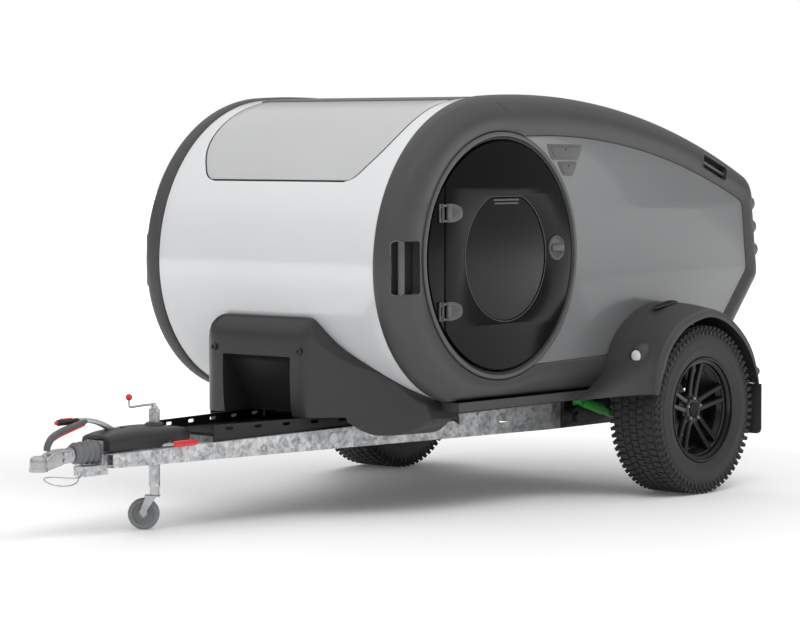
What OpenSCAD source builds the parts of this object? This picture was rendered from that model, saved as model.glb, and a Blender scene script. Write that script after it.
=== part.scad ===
// Teardrop camping trailer, parked level on its jockey wheel.
// X points to the rear, Y to the trailer's right and Z up; the ground is z = 0.
// Sizes that start at the axle are measured forwards (x < 0) or backwards (x > 0) from it.

/* [Body] */
// Distance of the nose ahead of the axle
nose_reach = 1859; // [1640:1:2100]
// Height of the foremost point of the nose
nose_z = 1075; // [1040:1:1130]
// Radius of the upper nose
nose_r = 720; // [660:1:760]
// Radius of the chin below the foremost point
chin_r = 600; // [580:1:660]
// Radius of the long roof curve
roof_r = 4150; // [3600:10:5200]
// Lean of the join between nose and roof curve, ahead of upright
roof_join = 3.5; // [1:0.5:6]
// Distance of the tail behind the axle
tail_reach = 872; // [760:1:1050]
// Height of the rearmost point of the body
tail_z = 960; // [930:1:1000]
// Forward lean of the tail above its rearmost point
tail_lean = 7.4; // [4:0.1:12]
// Slope of the undercut below the tail, from level
undercut = 47.7; // [42:0.1:54]
// Underside of the body shell
belly_z = 500; // [494:1:512]
// Half width of the nose, roof and hatch panels
panel_half = 624; // [520:1:660]
// Thickness of the nose, roof and hatch panels
shell_t = 35; // [25:1:45]
// Depth of a side moulding beyond the panels
side_depth = 128; // [110:1:140]
// Thickness of the side mouldings and side walls
side_t = 40; // [30:1:45]
// Width of the moulding band above the side panel
band_top = 172; // [150:1:185]
// Width of the moulding band along the tail
band_tail = 118; // [100:1:130]
// Gap all round the hatch
hatch_gap = 6; // [5:0.5:9]
// Place of the hatch hinge behind the axle
hatch_x = 110; // [40:1:200]

/* [Door] */
// Radius of the round door frame
frame_r = 536; // [500:1:550]
// Width of the door frame ring
frame_w = 38; // [30:1:50]
// Height of the door centre
door_z = 1113; // [1095:1:1130]
// Distance of the hinge line inside the foremost point of the door frame
hinge_in = 145; // [126:1:186]
// Gap round the door leaf
door_gap = 6; // [5:0.5:8]
// Thickness of the door leaf
leaf_t = 36; // [28:1:38]
// Radius of the door window
window_r = 281; // [220:1:300]
// How far each door swings out
door_swing = 100; // [80:1:105]

/* [Wheels] */
// Gap between a tyre and the body side
tyre_side_gap = 5.5; // [5:0.5:20]
// Outer radius of a tyre
tyre_r = 385; // [375:1:395]
// Width of a tyre
tyre_w = 265; // [235:1:270]
// Bead radius of a rim
bead_r = 216; // [203:1:222]
// Pairs of spokes in a rim
spoke_pairs = 5; // [4:1:7]
// Clearance between tyre and fender
fender_gap = 58; // [45:1:75]
// Thickness of a fender
fender_t = 20; // [12:1:26]
// How far a fender reaches past its tyre
fender_over = 23.5; // [18:0.5:40]

/* [Chassis] */
// Height of the frame underside
frame_z = 290; // [280:1:300]
// Height of the frame rails
rail_h = 120; // [100:1:125]
// Height of a drawbar beam at its front end
nib_h = 56; // [50:1:70]
// Width of a beam
rail_w = 50; // [40:1:60]
// Wall of a beam
rail_t = 4; // [3:0.5:6]
// Half distance between the frame rail centres
rail_half = 420; // [400:1:440]
// Distance of the drawbar bend ahead of the axle
bend_x = 400; // [370:1:450]
// Distance of the coupling ball ahead of the axle
ball_reach = 3172; // [3000:1:3400]
// Radius of the ball that the coupling takes
ball_r = 25; // [25:0.5:25.5]
// Height of the coupling ball's centre
ball_z = 316; // [310:1:320]
// Distance of the jockey wheel post behind the coupling ball
post_gap = 652; // [612:1:692]
// Radius of the jockey wheel
jockey_r = 65; // [60:1:68]
// Trail of the jockey wheel behind its post
jockey_trail = 45; // [40:1:50]
// Direction that the jockey wheel trails in, about the post
jockey_turn = 130.2; // [0:0.1:360]

/* [Hidden] */

$fn = 64;
seat = 0.3;
far = 3000;
steps = 3;

// Where the parts sit along X: the box of the whole trailer is centred on x = 0
lip_r = 42;
lens_r = 37;
lens_len = 46;
lens_z = [125, 235, 345];
lamp_gap = 6.2;
lamp_plate = 13;
function tail_x(z) = tail_reach - z * tan(tail_lean);
front_reach = ball_reach + lip_r;
rear_reach = tail_x(lens_z[0]) + lamp_gap + lamp_plate + lens_len;
axle_x = (front_reach - rear_reach) / 2;

// Body side view, as arcs about fixed centres
nose_c = [nose_r - nose_reach, nose_z];
chin_c = [chin_r - nose_reach, nose_z];
roof_c = nose_c + (roof_r - nose_r) * [sin(roof_join), -cos(roof_join)];
roof_top = roof_c[1] + roof_r;
tail_p = [tail_reach, tail_z];
tail_up = [-sin(tail_lean), cos(tail_lean)];
tail_in = [-cos(tail_lean), -sin(tail_lean)];
cut_down = [-cos(undercut), -sin(undercut)];
cut_in = [-sin(undercut), cos(undercut)];
tail_round = 110;
heel_round = 60;
door_c = [nose_c[0], door_z];
side_face = panel_half + side_depth - 14;
side_out = panel_half + side_depth;
side_in = side_face - side_t;
hinge_x = frame_r - hinge_in;
post_reach = ball_reach - post_gap;
track = 2 * (side_out + tyre_side_gap) + tyre_w;
fender_half = (track + tyre_w) / 2 + fender_over;
leaf_r = frame_r - frame_w - door_gap;
leaf_out = side_face + 4;
beam_top = frame_z + rail_h;

function cross2(a, b) = a[0] * b[1] - a[1] * b[0];
function meet(p, u, q, v) = p + u * cross2(q - p, v) / cross2(u, v);
function arc(c, r, a0, a1, n) = [for (i = [0:n]) c + r * [cos(a0 + (a1 - a0) * i / n), sin(a0 + (a1 - a0) * i / n)]];
function rev(list) = [for (i = [len(list) - 1:-1:0]) list[i]];

// Centre of the corner between the roof curve and the tail, for an inset t and a radius r
function top_corner(t, r) =
  let (p = tail_p + (t + r) * tail_in, w = p - roof_c, b = w * tail_up, R = roof_r - t - r)
  p + tail_up * (-b + sqrt(b * b - (w * w - R * R)));
// Centre of the corner between tail and undercut
function low_corner(t, r) = meet(tail_p + (t + r) * tail_in, tail_up, tail_p + (t + r) * cut_in, cut_down);
// Centre of the corner between undercut and belly
function heel_corner(t, r, z) = meet(tail_p + (t + r) * cut_in, cut_down, [0, z + r], [1, 0]);
function angle_of(v) = atan2(v[1], v[0]);

chin_n = 8 * steps;
nose_n = 7 * steps;
roof_n = 8 * steps;
turn_n = 3 * steps;

// Stretches of the outline, each inset by t
function chin_arc(t, z) =
  arc(chin_c, chin_r - t, 180 + asin((nose_z - z - t) / (chin_r - t)), 180, chin_n);
function nose_arc(t) = arc(nose_c, nose_r - t, 180, 90 + roof_join, nose_n);
function roof_arc(t, a0, a1) = arc(roof_c, roof_r - t, a0, a1, roof_n);
function tail_top_arc(t, r) =
  let (c = top_corner(t, r)) arc(c, r, angle_of(c - roof_c), tail_lean, turn_n);
function tail_low_arc(t, r) = arc(low_corner(t, r), r, tail_lean, undercut - 90, turn_n);
function heel_arc(t, r, z) = arc(heel_corner(t, r, z), r, undercut - 90, -90, turn_n);
function tail_angle(t, r) = angle_of(top_corner(t, r) - roof_c);

function belly_line(t) = let (b = chin_arc(t, belly_z)[0][0], a = door_c[0] + frame_r * cos(frame_low))
  [for (i = [0:belly_n - 1]) [a + (b - a) * i / belly_n, belly_z + t]];

// The whole outer outline of the body in side view, from the belly below the door round to the heel
function outline(t) = concat(
  belly_line(t), chin_arc(t, belly_z), nose_arc(t), roof_arc(t, 90 + roof_join, tail_angle(t, tail_round - t)),
  tail_top_arc(t, tail_round - t), tail_low_arc(t, heel_round - t), heel_arc(t, heel_round - t, belly_z + t));

// The inner edge of the side moulding: round the door frame, then round the side panel
panel_low = belly_z + 118;
panel_high = belly_z + 160;
frame_top = 72;
frame_mid = 244;
frame_low = 296;
belly_n = 4 * steps;
panel_a0 = 90 + asin((roof_c[0] - door_c[0] - frame_r * cos(frame_top)) / (roof_r - band_top));
function inner_edge() = concat(
  [for (i = [0:belly_n - 1]) arc(door_c, frame_r, frame_low, frame_mid, belly_n)[i]],
  arc(door_c, frame_r, frame_mid, 180, chin_n), arc(door_c, frame_r, 180, frame_top, nose_n), panel_edge());
function panel_edge() =
  concat(roof_arc(band_top, panel_a0, tail_angle(band_top, 50)), panel_tail(), panel_heel());
function panel_tail() =
  let (c = top_corner(band_tail, 50), d = low_corner(band_tail, 40))
  concat(arc(c, 50, 68, tail_lean, turn_n), arc(d, 40, tail_lean, undercut - 90, turn_n));
function panel_heel() =
  let (p = meet(tail_p + band_tail * cut_in, cut_down, [0, panel_high], [1, 0]))
  [for (i = [0:turn_n]) p + i / turn_n * (door_c + frame_r * [cos(frame_low), sin(frame_low)] - p) * 0.97];

// The same outline as a closed list of points, mixed between the outer and the inner edge
function roof_at(x) = roof_c[1] + sqrt(roof_r * roof_r - (x - roof_c[0]) * (x - roof_c[0]));
function lerp(a, b, s) = a + (b - a) * s;
function between(s) = let (a = outline(0), b = inner_edge()) [for (i = [0:len(a) - 1]) lerp(a[i], b[i], s)];

module from_axle() translate([axle_x, 0, 0]) children();
module across(y0, y1) translate([0, y1, 0]) rotate([90, 0, 0]) linear_extrude(y1 - y0) children();
module on_right() mirror([0, 1, 0]) children();
module both_sides() {
  children();
  on_right() children();
}
// A round bar along Y
module bar_y(x, y0, y1, z, r) translate([x, y0, z]) rotate([-90, 0, 0]) cylinder(r = r, h = y1 - y0);
// A round bar along X
module bar_x(x0, x1, y, z, r) translate([x0, y, z]) rotate([0, 90, 0]) cylinder(r = r, h = x1 - x0);
module block(lo, hi) translate(lo) cube(hi - lo);

// ---- Chassis ----
nib_reach = ball_reach - 302;
nib_half = 95;
beam_run = [bend_x - nib_reach, rail_half - nib_half];
beam_len = norm(beam_run);
beam_turn = atan2(beam_run[1], beam_run[0]);
beam_side = rail_w / 2 / cos(180 - beam_turn);
function beam_y(x) = -rail_half + (-bend_x - x) * (rail_half - nib_half) / (nib_reach - bend_x);
function beam_h(u) = rail_h + (nib_h - rail_h) * u / beam_len;
function beam_u(x) = (-x - bend_x) / cos(180 - beam_turn);
// Inner face of the web of the left beam or rail
function web_y(x) = beam_y(x) - beam_side + rail_t;

// Local frame of the left drawbar beam: X runs forwards along it, Y is outboard
module along_beam() translate([-bend_x, -rail_half, 0]) rotate([0, 0, beam_turn]) children();

galv_end = 330;
slot_x = 640;
slot_z = frame_z + 72;
slot_half = 75;
slot_r = 21;
module left_beam() difference() {
  union() {
    along_beam() difference() {
      across(-rail_w / 2, rail_w / 2) polygon([
        [0, frame_z], [beam_len, frame_z], [beam_len, frame_z + nib_h], [0, beam_top]]);
      across(-rail_w, rail_w / 2 - rail_t) polygon([
        [-20, frame_z + rail_t], [beam_len + 1, frame_z + rail_t],
        [beam_len + 1, frame_z + nib_h - rail_t], [-20, beam_top - rail_t]]);
    }
    difference() {
      block([-bend_x, -rail_half - rail_w / 2, frame_z], [-galv_end, -rail_half + rail_w / 2, beam_top]);
      block([-bend_x - 1, -rail_half - rail_w / 2 + rail_t, frame_z + rail_t],
        [-galv_end + 1, -rail_half + rail_w, beam_top - rail_t]);
    }
  }
  // Long lashing slot in the web
  for (x = [-slot_half, slot_half]) bar_y(-slot_x + x, -rail_half - 100, -rail_half + 100, slot_z, slot_r);
  block([-slot_x - slot_half, -rail_half - 100, slot_z - slot_r],
    [-slot_x + slot_half, -rail_half + 100, slot_z + slot_r]);
}
module drawbar_beams() color("gainsboro") from_axle() both_sides() left_beam();

rail_rear = 350;
module frame_rails() color("dimgray") from_axle() both_sides() difference() {
  block([-galv_end + seat, -rail_half - rail_w / 2, frame_z], [rail_rear, -rail_half + rail_w / 2, beam_top]);
  block([-galv_end, -rail_half - rail_w / 2 + rail_t, frame_z + rail_t],
    [rail_rear + 1, -rail_half + rail_w, beam_top - rail_t]);
}

// Cross members between the two sides of the frame
member_w = 50;
member_z = frame_z + 10;
module cross_member(x, half, z0, z1) difference() {
  block([x - member_w / 2, -half, z0], [x + member_w / 2, half, z1]);
  block([x - member_w / 2 + rail_t, -half - 1, z0 + rail_t], [x + member_w / 2 - rail_t, half + 1, z1 - rail_t]);
}
module cross_members() color("dimgray") from_axle() {
  web_in = rail_half + rail_w / 2 - rail_t - seat;
  cross_member(-1500, -web_y(-1500 - member_w / 2) - 1, member_z, member_z + 50);
  cross_member(-galv_end + 40, web_in, member_z, member_z + 60);
  cross_member(rail_rear - 40, web_in, member_z, member_z + 60);
}

// ---- Suspension ----
pivot = [-300, 345];
arm_in = rail_half + rail_w / 2 + 18;
arm_w = 56;
arm_out = arm_in + arm_w;
arm_r = 44;
arm_end_r = 52;
pivot_r = 15;
spindle_r = 17.5;
disc_in = 22;
hub_face = track / 2 + disc_in;
drum_r = 128;
drum_in = side_out - 12;
hub_z = tyre_r;
module trailing_arms() color("dimgray") from_axle() both_sides() {
  arm = [0, hub_z] - pivot;
  lie = atan2(arm[1], arm[0]);
  across(-arm_out, -arm_in) difference() {
    union() {
      translate(pivot) circle(r = arm_r);
      translate([0, hub_z]) circle(r = arm_end_r);
      translate(pivot) rotate(lie) polygon([[0, 3 - arm_r], [norm(arm), 3 - arm_end_r], [norm(arm), arm_end_r - 3], [0, arm_r - 3]]);
    }
    translate(pivot) circle(r = pivot_r + 0.2);
  }
  // Bracket and pivot bolt on the frame rail
  block([pivot[0] - 26, -arm_in + 1, frame_z + 4], [pivot[0] + 70, -rail_half - rail_w / 2 - seat, beam_top]);
  bar_y(pivot[0], -arm_out - 16, -arm_in + 2, pivot[1], pivot_r - 0.1);
  bar_y(pivot[0], -arm_out - 16, -arm_out - 1, pivot[1], pivot_r + 10);
}
module stub_axles() color("silver") from_axle() both_sides() {
  bar_y(0, -drum_in + 7, -arm_out - seat, hub_z, 46);
  bar_y(0, -drum_in + 4, -drum_in + 10, hub_z, drum_r);
  bar_y(0, -hub_face - 20, -drum_in + 8, hub_z, spindle_r);
}
shock_top = [-330, 425];
shock_low = [-96, 352];
shock_eye = 17;
module shock_absorbers() color("limegreen") from_axle() both_sides() {
  run = shock_low - shock_top;
  span = norm(run);
  y = -(arm_out + 34);
  translate([shock_top[0], y, shock_top[1]]) rotate([0, 90 - atan2(run[1], run[0]), 0]) {
    cylinder(r = 10, h = span);
    translate([0, 0, 22]) cylinder(r = 24, h = span - 90);
    translate([0, 0, span - 69]) cylinder(r = 18, h = 42);
  }
  for (p = [shock_top, shock_low]) bar_y(p[0], y - 18, y + 18, p[1], shock_eye);
  bar_y(shock_low[0], y, -arm_out - seat, shock_low[1], 9);
  block([shock_top[0] - 20, y + 17, belly_z - floor_t - 50], [shock_top[0] + 20, y + 23, belly_z - floor_t - seat]);
}

// ---- Wheels ----
module wheel_frame() from_axle() translate([0, -track / 2, hub_z]) rotate([90, 0, 0]) children();

half_w = tyre_w / 2;
tyre_out = [[bead_r + 2, half_w - 30], [bead_r + 18, half_w - 20], [bead_r + 60, half_w - 3], [bead_r + 90, half_w],
  [tyre_r - 40, half_w - 4], [tyre_r - 14, half_w - 13], [tyre_r - 3, half_w - 26], [tyre_r, half_w - 40]];
tyre_wall = 14;
tyre_in = [[bead_r - 10, half_w - 46], [bead_r + 20, half_w - 36], [bead_r + 75, half_w - tyre_wall],
  [tyre_r - 45, half_w - tyre_wall - 4], [tyre_r - 24, half_w - 45]];
function both_halves(list) = concat(list, rev([for (p = list) [p[0], -p[1]]]));
module tyre() color("#222222") wheel_frame() rotate_extrude($fn = 96) difference() {
  polygon(both_halves(tyre_out));
  polygon(both_halves(tyre_in));
}
rim_lip = bead_r + 22;
rim_seat = bead_r + 1.7;
rim_well = bead_r - 16;
rim_t = 8;
disc_t = 44;
disc_r = 78;
spigot_r = 30;
rim_out = [[rim_lip, half_w - 10], [rim_lip, half_w - 16.5], [rim_seat, half_w - 29.5], [rim_seat, half_w - 60], [rim_well, half_w - 72]];
rim_in = [[rim_lip - rim_t, half_w - 10], [bead_r - rim_t, half_w - 34], [rim_well - rim_t, half_w - 76]];
module rim() color("#181818") wheel_frame() difference() {
  union() {
    rotate_extrude($fn = 96) polygon(concat(both_halves(rim_out), rev(both_halves(rim_in))));
    translate([0, 0, disc_in]) cylinder(r = disc_r, h = disc_t);
    for (i = [0:spoke_pairs - 1], s = [-1, 1]) rotate([0, 0, 90 + i * 360 / spoke_pairs])
      translate([50, s * 26, disc_in + 12]) rotate([0, 0, -s * 3]) translate([0, -10, 0]) cube([rim_well - 54, 20, 36]);
  }
  translate([0, 0, disc_in - 1]) cylinder(r = spigot_r, h = disc_t + 10);
}
module brake_drum() color("silver") from_axle() difference() {
  union() {
    bar_y(0, -drum_in - 90, -drum_in - 1, hub_z, drum_r);
    bar_y(0, -hub_face + seat, -drum_in - 88, hub_z, 74);
    bar_y(0, -hub_face - 30, -hub_face + 1, hub_z, spigot_r - 0.4);
  }
  bar_y(0, -hub_face - 22, -drum_in + 1, hub_z, spindle_r + 0.06);
  bar_y(0, -drum_in - 70, -drum_in, hub_z, drum_r - 10);
}

// ---- Fenders ----
arch_r = tyre_r + fender_gap;
fender_low = hub_z + 95;
fender_in = side_out + seat;
fender_lip = 16;
flare_x = arch_r + 165;
lamp_y = -fender_half + 130;
lamp_z = hub_z + 263;
lamp_r = 28;
lamp_x = sqrt((arch_r + fender_t) * (arch_r + fender_t) - (lamp_z - hub_z) * (lamp_z - hub_z));
flange_z = panel_high + 12;
module above(z) translate([-far, z]) square([2 * far, far]);
module fender() color("#3a3a3c") from_axle() difference() {
  union() {
    across(-fender_half, -fender_in) intersection() {
      translate([0, hub_z]) circle(r = arch_r + fender_t);
      above(fender_low);
    }
    across(-fender_in - 1, -side_face - seat) intersection() {
      translate([0, hub_z]) circle(r = arch_r + fender_t);
      above(flange_z);
    }
    // Flare that joins the front of the fender to the body side
    translate([0, 0, fender_low]) linear_extrude(140) polygon([
      [-flare_x, -fender_in], [-arch_r - 24, -side_out - 170], [-arch_r - 12, -fender_half + 20],
      [-arch_r + 60, -fender_half + 1], [-arch_r + 60, -fender_in]]);
    bar_x(-lamp_x - 14, -lamp_x + 30, lamp_y, lamp_z, lamp_r + 10);
  }
  across(-fender_half + fender_lip, -side_face + 1) translate([0, hub_z]) circle(r = arch_r);
  across(-fender_half - 1, -fender_half + fender_lip + 1) translate([0, hub_z]) circle(r = arch_r - 14);
  bar_x(-lamp_x - 20, -lamp_x + 20, lamp_y, lamp_z, lamp_r + seat);
}
flap_t = 8;
flap_low = 246;
flap_x = sqrt(arch_r * arch_r - (fender_low - hub_z) * (fender_low - hub_z)) - flap_t - 12;
module mudflaps() color("#202020") from_axle() both_sides() {
  block([flap_x + 8, -fender_half + 2, flap_low], [flap_x + 8 + flap_t, -side_out - 12, fender_low - seat]);
}
module marker_lamps() color("white") from_axle() both_sides()
  bar_x(-lamp_x - 18, -lamp_x + 19, lamp_y, lamp_z, lamp_r);

// ---- Coupling ----
shaft_z = ball_z + 34;
shaft_front = ball_reach - 140;
shaft_r = 22.5;
shaft_rear = ball_reach - 440;
neck_r = 27;
neck_z = shaft_z - 6;
socket_r = ball_r + 0.2;
module coupling_head() color("silver") from_axle() difference() {
  union() {
    translate([-ball_reach, 0, ball_z - 24]) cylinder(r = lip_r, h = 14);
    translate([-ball_reach, 0, ball_z - 12]) cylinder(r = 35, h = 30);
    translate([-ball_reach, 0, ball_z + 16]) cylinder(r1 = 35, r2 = 18, h = 22);
    bar_x(-ball_reach + 10, -shaft_front + 30, 0, neck_z, neck_r);
    block([-ball_reach, -29, ball_z - 22], [-ball_reach + 120, 29, ball_z + 12]);
  }
  translate([-ball_reach, 0, ball_z]) sphere(r = socket_r);
  translate([-ball_reach, 0, ball_z - 30]) cylinder(r = socket_r, h = 30);
  bar_x(-shaft_front, -shaft_front + 60, 0, shaft_z, shaft_r + seat);
}
module coupling_shaft() color("silver") from_axle() bar_x(-shaft_front + seat, -shaft_rear, 0, shaft_z, shaft_r);
// Lever of the coupling, as its side view: foot, back and grip
handle_w = 15;
module coupling_handle() color("#1c1c1c") from_axle() across(-handle_w, handle_w) translate([-ball_reach, shaft_z]) polygon([
  [42, neck_r - 6 + seat], [46, 66], [72, 84], [250, 132], [270, 118], [120, 60], [102, neck_r - 6 + seat]]);
bellows_front = shaft_front - 40;
bellows_len = 130;
folds = 5;
module bellows() color("#707074") from_axle() translate([-bellows_front, 0, shaft_z]) rotate([0, 90, 0])
  rotate_extrude() polygon(concat([[shaft_r + seat, 0]],
    [for (i = [0:folds - 1]) each [[38 + i, i * bellows_len / folds + 2], [46 + i, (i + 0.5) * bellows_len / folds]]],
    [[44, bellows_len], [shaft_r + seat, bellows_len]]));
housing_front = bellows_front - bellows_len;
housing_rear = ball_reach - 520;
housing_half = 44;
housing_h = 46;
rod_y = 40;
rod_r = 5;
rod_z = member_z - rod_r - seat;
module coupling_housing() color("gainsboro") from_axle() difference() {
  union() {
    block([-housing_front + seat, -housing_half, shaft_z - housing_h], [-housing_rear, housing_half, shaft_z + housing_h]);
    block([-housing_front - 84, -36, frame_z - 34], [-housing_front + 40, 36, shaft_z - 54]);
    block([-housing_front + seat, -36, shaft_z - 55], [-housing_front + 40, 36, shaft_z - housing_h + 1]);
    // Lugs between the front ends of the beams
    both_sides() translate([0, 0, member_z - 4]) linear_extrude(44) polygon([
      [-nib_reach + 10, beam_y(-nib_reach + 10) + beam_side + seat], [-housing_rear - 20, beam_y(-housing_rear - 20) + beam_side + seat],
      [-housing_rear - 20, -30], [-nib_reach + 10, -30]]);
    block([-housing_rear - 20, rod_y - 12, rod_z - 9], [-housing_rear, rod_y + 12, shaft_z]);
  }
  bar_x(-housing_front - 200, -shaft_rear + 1, 0, shaft_z, shaft_r + seat);
  block([-housing_front - 100, -50, shaft_z - housing_h - 1], [-housing_front + seat, 50, shaft_z + 60]);
}
lever_y = 34;
lever_w = 9;
lever_c = [-ball_reach + 257, ball_z - 181];
lever_r = 343;
lever_h = 11;
foot_z = shaft_z + housing_h + seat;
module handbrake_lever() color("silver") from_axle() {
  across(lever_y - lever_w, lever_y + lever_w)
    polygon(concat(arc(lever_c, lever_r - lever_h, 54, 91, 12), rev(arc(lever_c, lever_r + lever_h, 54, 91, 12))));
  block([-ball_reach + 436, lever_y - lever_w, foot_z], [-ball_reach + 486, lever_y + lever_w, foot_z + 34]);
}
grip_r = 13;
grip_len = 116;
module handbrake_grip() color("#1c1c1c") from_axle()
  bar_x(lever_c[0] - grip_len - 6.5, lever_c[0] - 6.5, lever_y, lever_c[1] + lever_r - 2, grip_r);
module brake_rod() color("silver") from_axle() bar_x(-housing_rear + seat, -galv_end + 60, rod_y, rod_z, rod_r);

// ---- Breakaway cable ----
// Route of the wire loop below the coupling, from its bracket forwards and back, in the axle's frame
cable_r = 2.5;
cable_sides = 8;
cable_route = [[-2932, 6, 253.2], [-2950, 4, 246], [-2966, -10, 242], [-2990, -30, 238], [-3020, -46, 234], [-3052, -54, 231],
  [-3084, -52, 231], [-3108, -38, 234], [-3120, -14, 240], [-3120, 14, 248], [-3108, 38, 254], [-3084, 52, 257],
  [-3052, 54, 257], [-3020, 46, 254], [-2990, 32, 250], [-2966, 18, 248], [-2950, 14, 249], [-2932, 14, 253.2]];
function unit(v) = v / norm(v);
function run_at(p, i) = unit(p[min(i + 1, len(p) - 1)] - p[max(i - 1, 0)]);
// A smooth point between route points i and i + 1
function smooth(p, i, t) = let (n = len(p) - 1, a = p[max(i - 1, 0)], b = p[i], c = p[min(i + 1, n)], d = p[min(i + 2, n)])
  0.5 * (2 * b + (c - a) * t + (2 * a - 5 * b + 4 * c - d) * t * t + (3 * b - a - 3 * c + d) * t * t * t);
function smooth_path(p, k) = concat([for (i = [0:len(p) - 2], j = [0:k - 1]) smooth(p, i, j / k)], [p[len(p) - 1]]);
module tube(path, r, sides) {
  n = len(path);
  rings = [for (i = [0:n - 1]) let (w = run_at(path, i), u = unit(cross([0, 0, 1], w)), v = cross(w, u))
    for (k = [0:sides - 1]) path[i] + r * (cos(k * 360 / sides) * u + sin(k * 360 / sides) * v)];
  polyhedron(points = rings, faces = concat(
    [[for (k = [0:sides - 1]) k]], [[for (k = [sides - 1:-1:0]) (n - 1) * sides + k]],
    [for (i = [0:n - 2], k = [0:sides - 1]) let (a = i * sides + k, b = i * sides + (k + 1) % sides)
      each [[a, a + sides, b + sides], [a, b + sides, b]]]));
}
module breakaway_cable() color("silver") from_axle() translate([3172 - ball_reach, 0, ball_z - 316])
  tube(smooth_path(cable_route, 4), cable_r, cable_sides);

// ---- Drawbar cover, tray ----
cover_top = shaft_z + 68;
cover_low = frame_z + 42;
cover_t = 5;
cover_front = housing_front - 6;
module cover_plan(d) polygon([
  [-cover_front + d, web_y(-cover_front) - rail_t - cover_t + d], [-post_reach - 10, web_y(-post_reach - 10) - rail_t - cover_t + d],
  [-post_reach + 90, web_y(-post_reach) + 18 + d], [-post_reach + 140 - d, -70],
  [-post_reach + 140 - d, 70], [-post_reach + 90, -web_y(-post_reach) - 18 - d],
  [-post_reach - 10, -web_y(-post_reach - 10) + rail_t + cover_t - d], [-cover_front + d, -web_y(-cover_front) + rail_t + cover_t - d]]);
module drawbar_cover() color("#2c2c2e") from_axle() difference() {
  translate([0, 0, cover_low]) linear_extrude(cover_top - cover_low) cover_plan(0);
  translate([0, 0, cover_low - 1]) linear_extrude(cover_top - cover_low + 1 - cover_t) cover_plan(cover_t - 0.8);
  both_sides() along_beam() across(-rail_w / 2 - 0.5, rail_w / 2 + 0.5) polygon([
    [0, frame_z], [beam_len + 20, frame_z], [beam_len + 20, frame_z + nib_h + 0.5], [0, beam_top + 0.5]]);
  translate([-post_reach, 0, 0]) cylinder(r = tube_r + 4, h = 600);
  block([-ball_reach + 420, lever_y - lever_w - 5, 0], [-ball_reach + 500, lever_y + lever_w + 5, 600]);
  block([-cover_front - 1, -housing_half - 4, 0], [-cover_front + 20, housing_half + 4, shaft_z + housing_h + 4]);
  block([-cover_front - 1, -nib_half + 15, 0], [-cover_front + 20, nib_half - 15, member_z + 41]);
}
tray_front = post_reach - 180;
tray_rear = nose_reach - 299;
tray_z = 383;
tray_lip = 430;
tray_t = 5;
tray_slots = 5;
module drawbar_tray() color("#1e1e20") from_axle() {
  translate([0, 0, tray_z]) linear_extrude(tray_t) polygon([
    [-tray_front, beam_y(-tray_front)], [-tray_rear, beam_y(-tray_rear)], [-tray_rear, -beam_y(-tray_rear)], [-tray_front, -beam_y(-tray_front)]]);
  both_sides() along_beam() difference() {
    across(-tray_t / 2, tray_t / 2) polygon([
      [beam_u(-tray_rear), frame_z + beam_h(beam_u(-tray_rear)) + seat], [beam_u(-tray_front), frame_z + beam_h(beam_u(-tray_front)) + seat],
      [beam_u(-tray_front), tray_lip], [beam_u(-tray_rear), tray_lip]]);
    for (i = [0:tray_slots - 1]) let (u = beam_u(-tray_rear) + (i + 0.5) * (tray_front - tray_rear) / tray_slots) {
      for (s = [-1, 1]) translate([u + s * 14, -20, tray_lip - 19]) rotate([-90, 0, 0]) cylinder(r = 7, h = 40);
      block([u - 14, -20, tray_lip - 26], [u + 14, 20, tray_lip - 12]);
    }
  }
}

// ---- Jockey wheel ----
tube_r = 23;
tube_low = 178;
tube_top = 500;
post_r = 20;
post_top = 484;
fork_top = 2 * jockey_r + 12;
fork_t = 5;
stem_r = 8;
stem_len = 50;
knob = [-146, 558];
knob_r = 14;
module at_post() from_axle() translate([-post_reach, 0, 0]) children();
module jockey_tube() color("silver") at_post() difference() {
  union() {
    translate([0, 0, tube_low]) cylinder(r = tube_r, h = tube_top - tube_low);
    translate([0, 0, member_z]) cylinder(r = tube_r + 12, h = 44);
    block([-20, web_y(-post_reach - 20) + 1, member_z + 2], [20, -web_y(-post_reach - 20) - 1, member_z + 40]);
  }
  translate([0, 0, 100]) cylinder(r = post_r + seat, h = tube_top - 5 - 100);
}
module jockey_post() color("gainsboro") at_post() difference() {
  translate([0, 0, fork_top + 1]) cylinder(r = post_r, h = post_top - fork_top - 1);
  translate([0, 0, fork_top]) cylinder(r = stem_r + 0.06, h = stem_len + 4);
}
clamp_y = -tube_r - 12 - seat;
module jockey_handles() color("red") at_post() {
  translate([0, 0, tube_top + seat]) cylinder(r = 9, h = 26);
  bar_x(knob[0] - 4, 0, 0, tube_top + 19, 5);
  translate([knob[0], 0, tube_top + 15]) cylinder(r = 4, h = 40);
  translate([knob[0], 0, knob[1]]) sphere(r = knob_r);
}
module trailing() at_post() rotate([0, 0, jockey_turn]) children();
module jockey_fork() color("silver") trailing() {
  block([-22, -30, fork_top - fork_t], [40, 30, fork_top]);
  for (s = [-1, 1]) translate([0, s * 28 + 2, 0]) across(-4, 0) polygon([
    [-12, fork_top], [34, fork_top], [jockey_trail + 16, jockey_r + 8], [jockey_trail, jockey_r - 15],
    [jockey_trail - 16, jockey_r], [jockey_trail - 14, jockey_r + 14]]);
  translate([0, 0, fork_top - 1]) cylinder(r = stem_r, h = stem_len);
  bar_y(jockey_trail, -34, 34, jockey_r, 6);
}
module jockey_wheel() color("#66686a") trailing() translate([jockey_trail, 0, jockey_r]) rotate([90, 0, 0])
  rotate_extrude() polygon(both_halves([[6.06, 20], [24, 20], [26, 12], [44, 12], [46, 19], [jockey_r - 8, 19], [jockey_r, 12]]));

// ---- Body ----
floor_t = 48;
nose_end = 1020;
glass_half = panel_half - 72;
glass_low = 1434;
module shell_band(a, b) polygon(concat(a, rev(b)));
module panel_across() across(-panel_half + seat, panel_half - seat) children();
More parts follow.
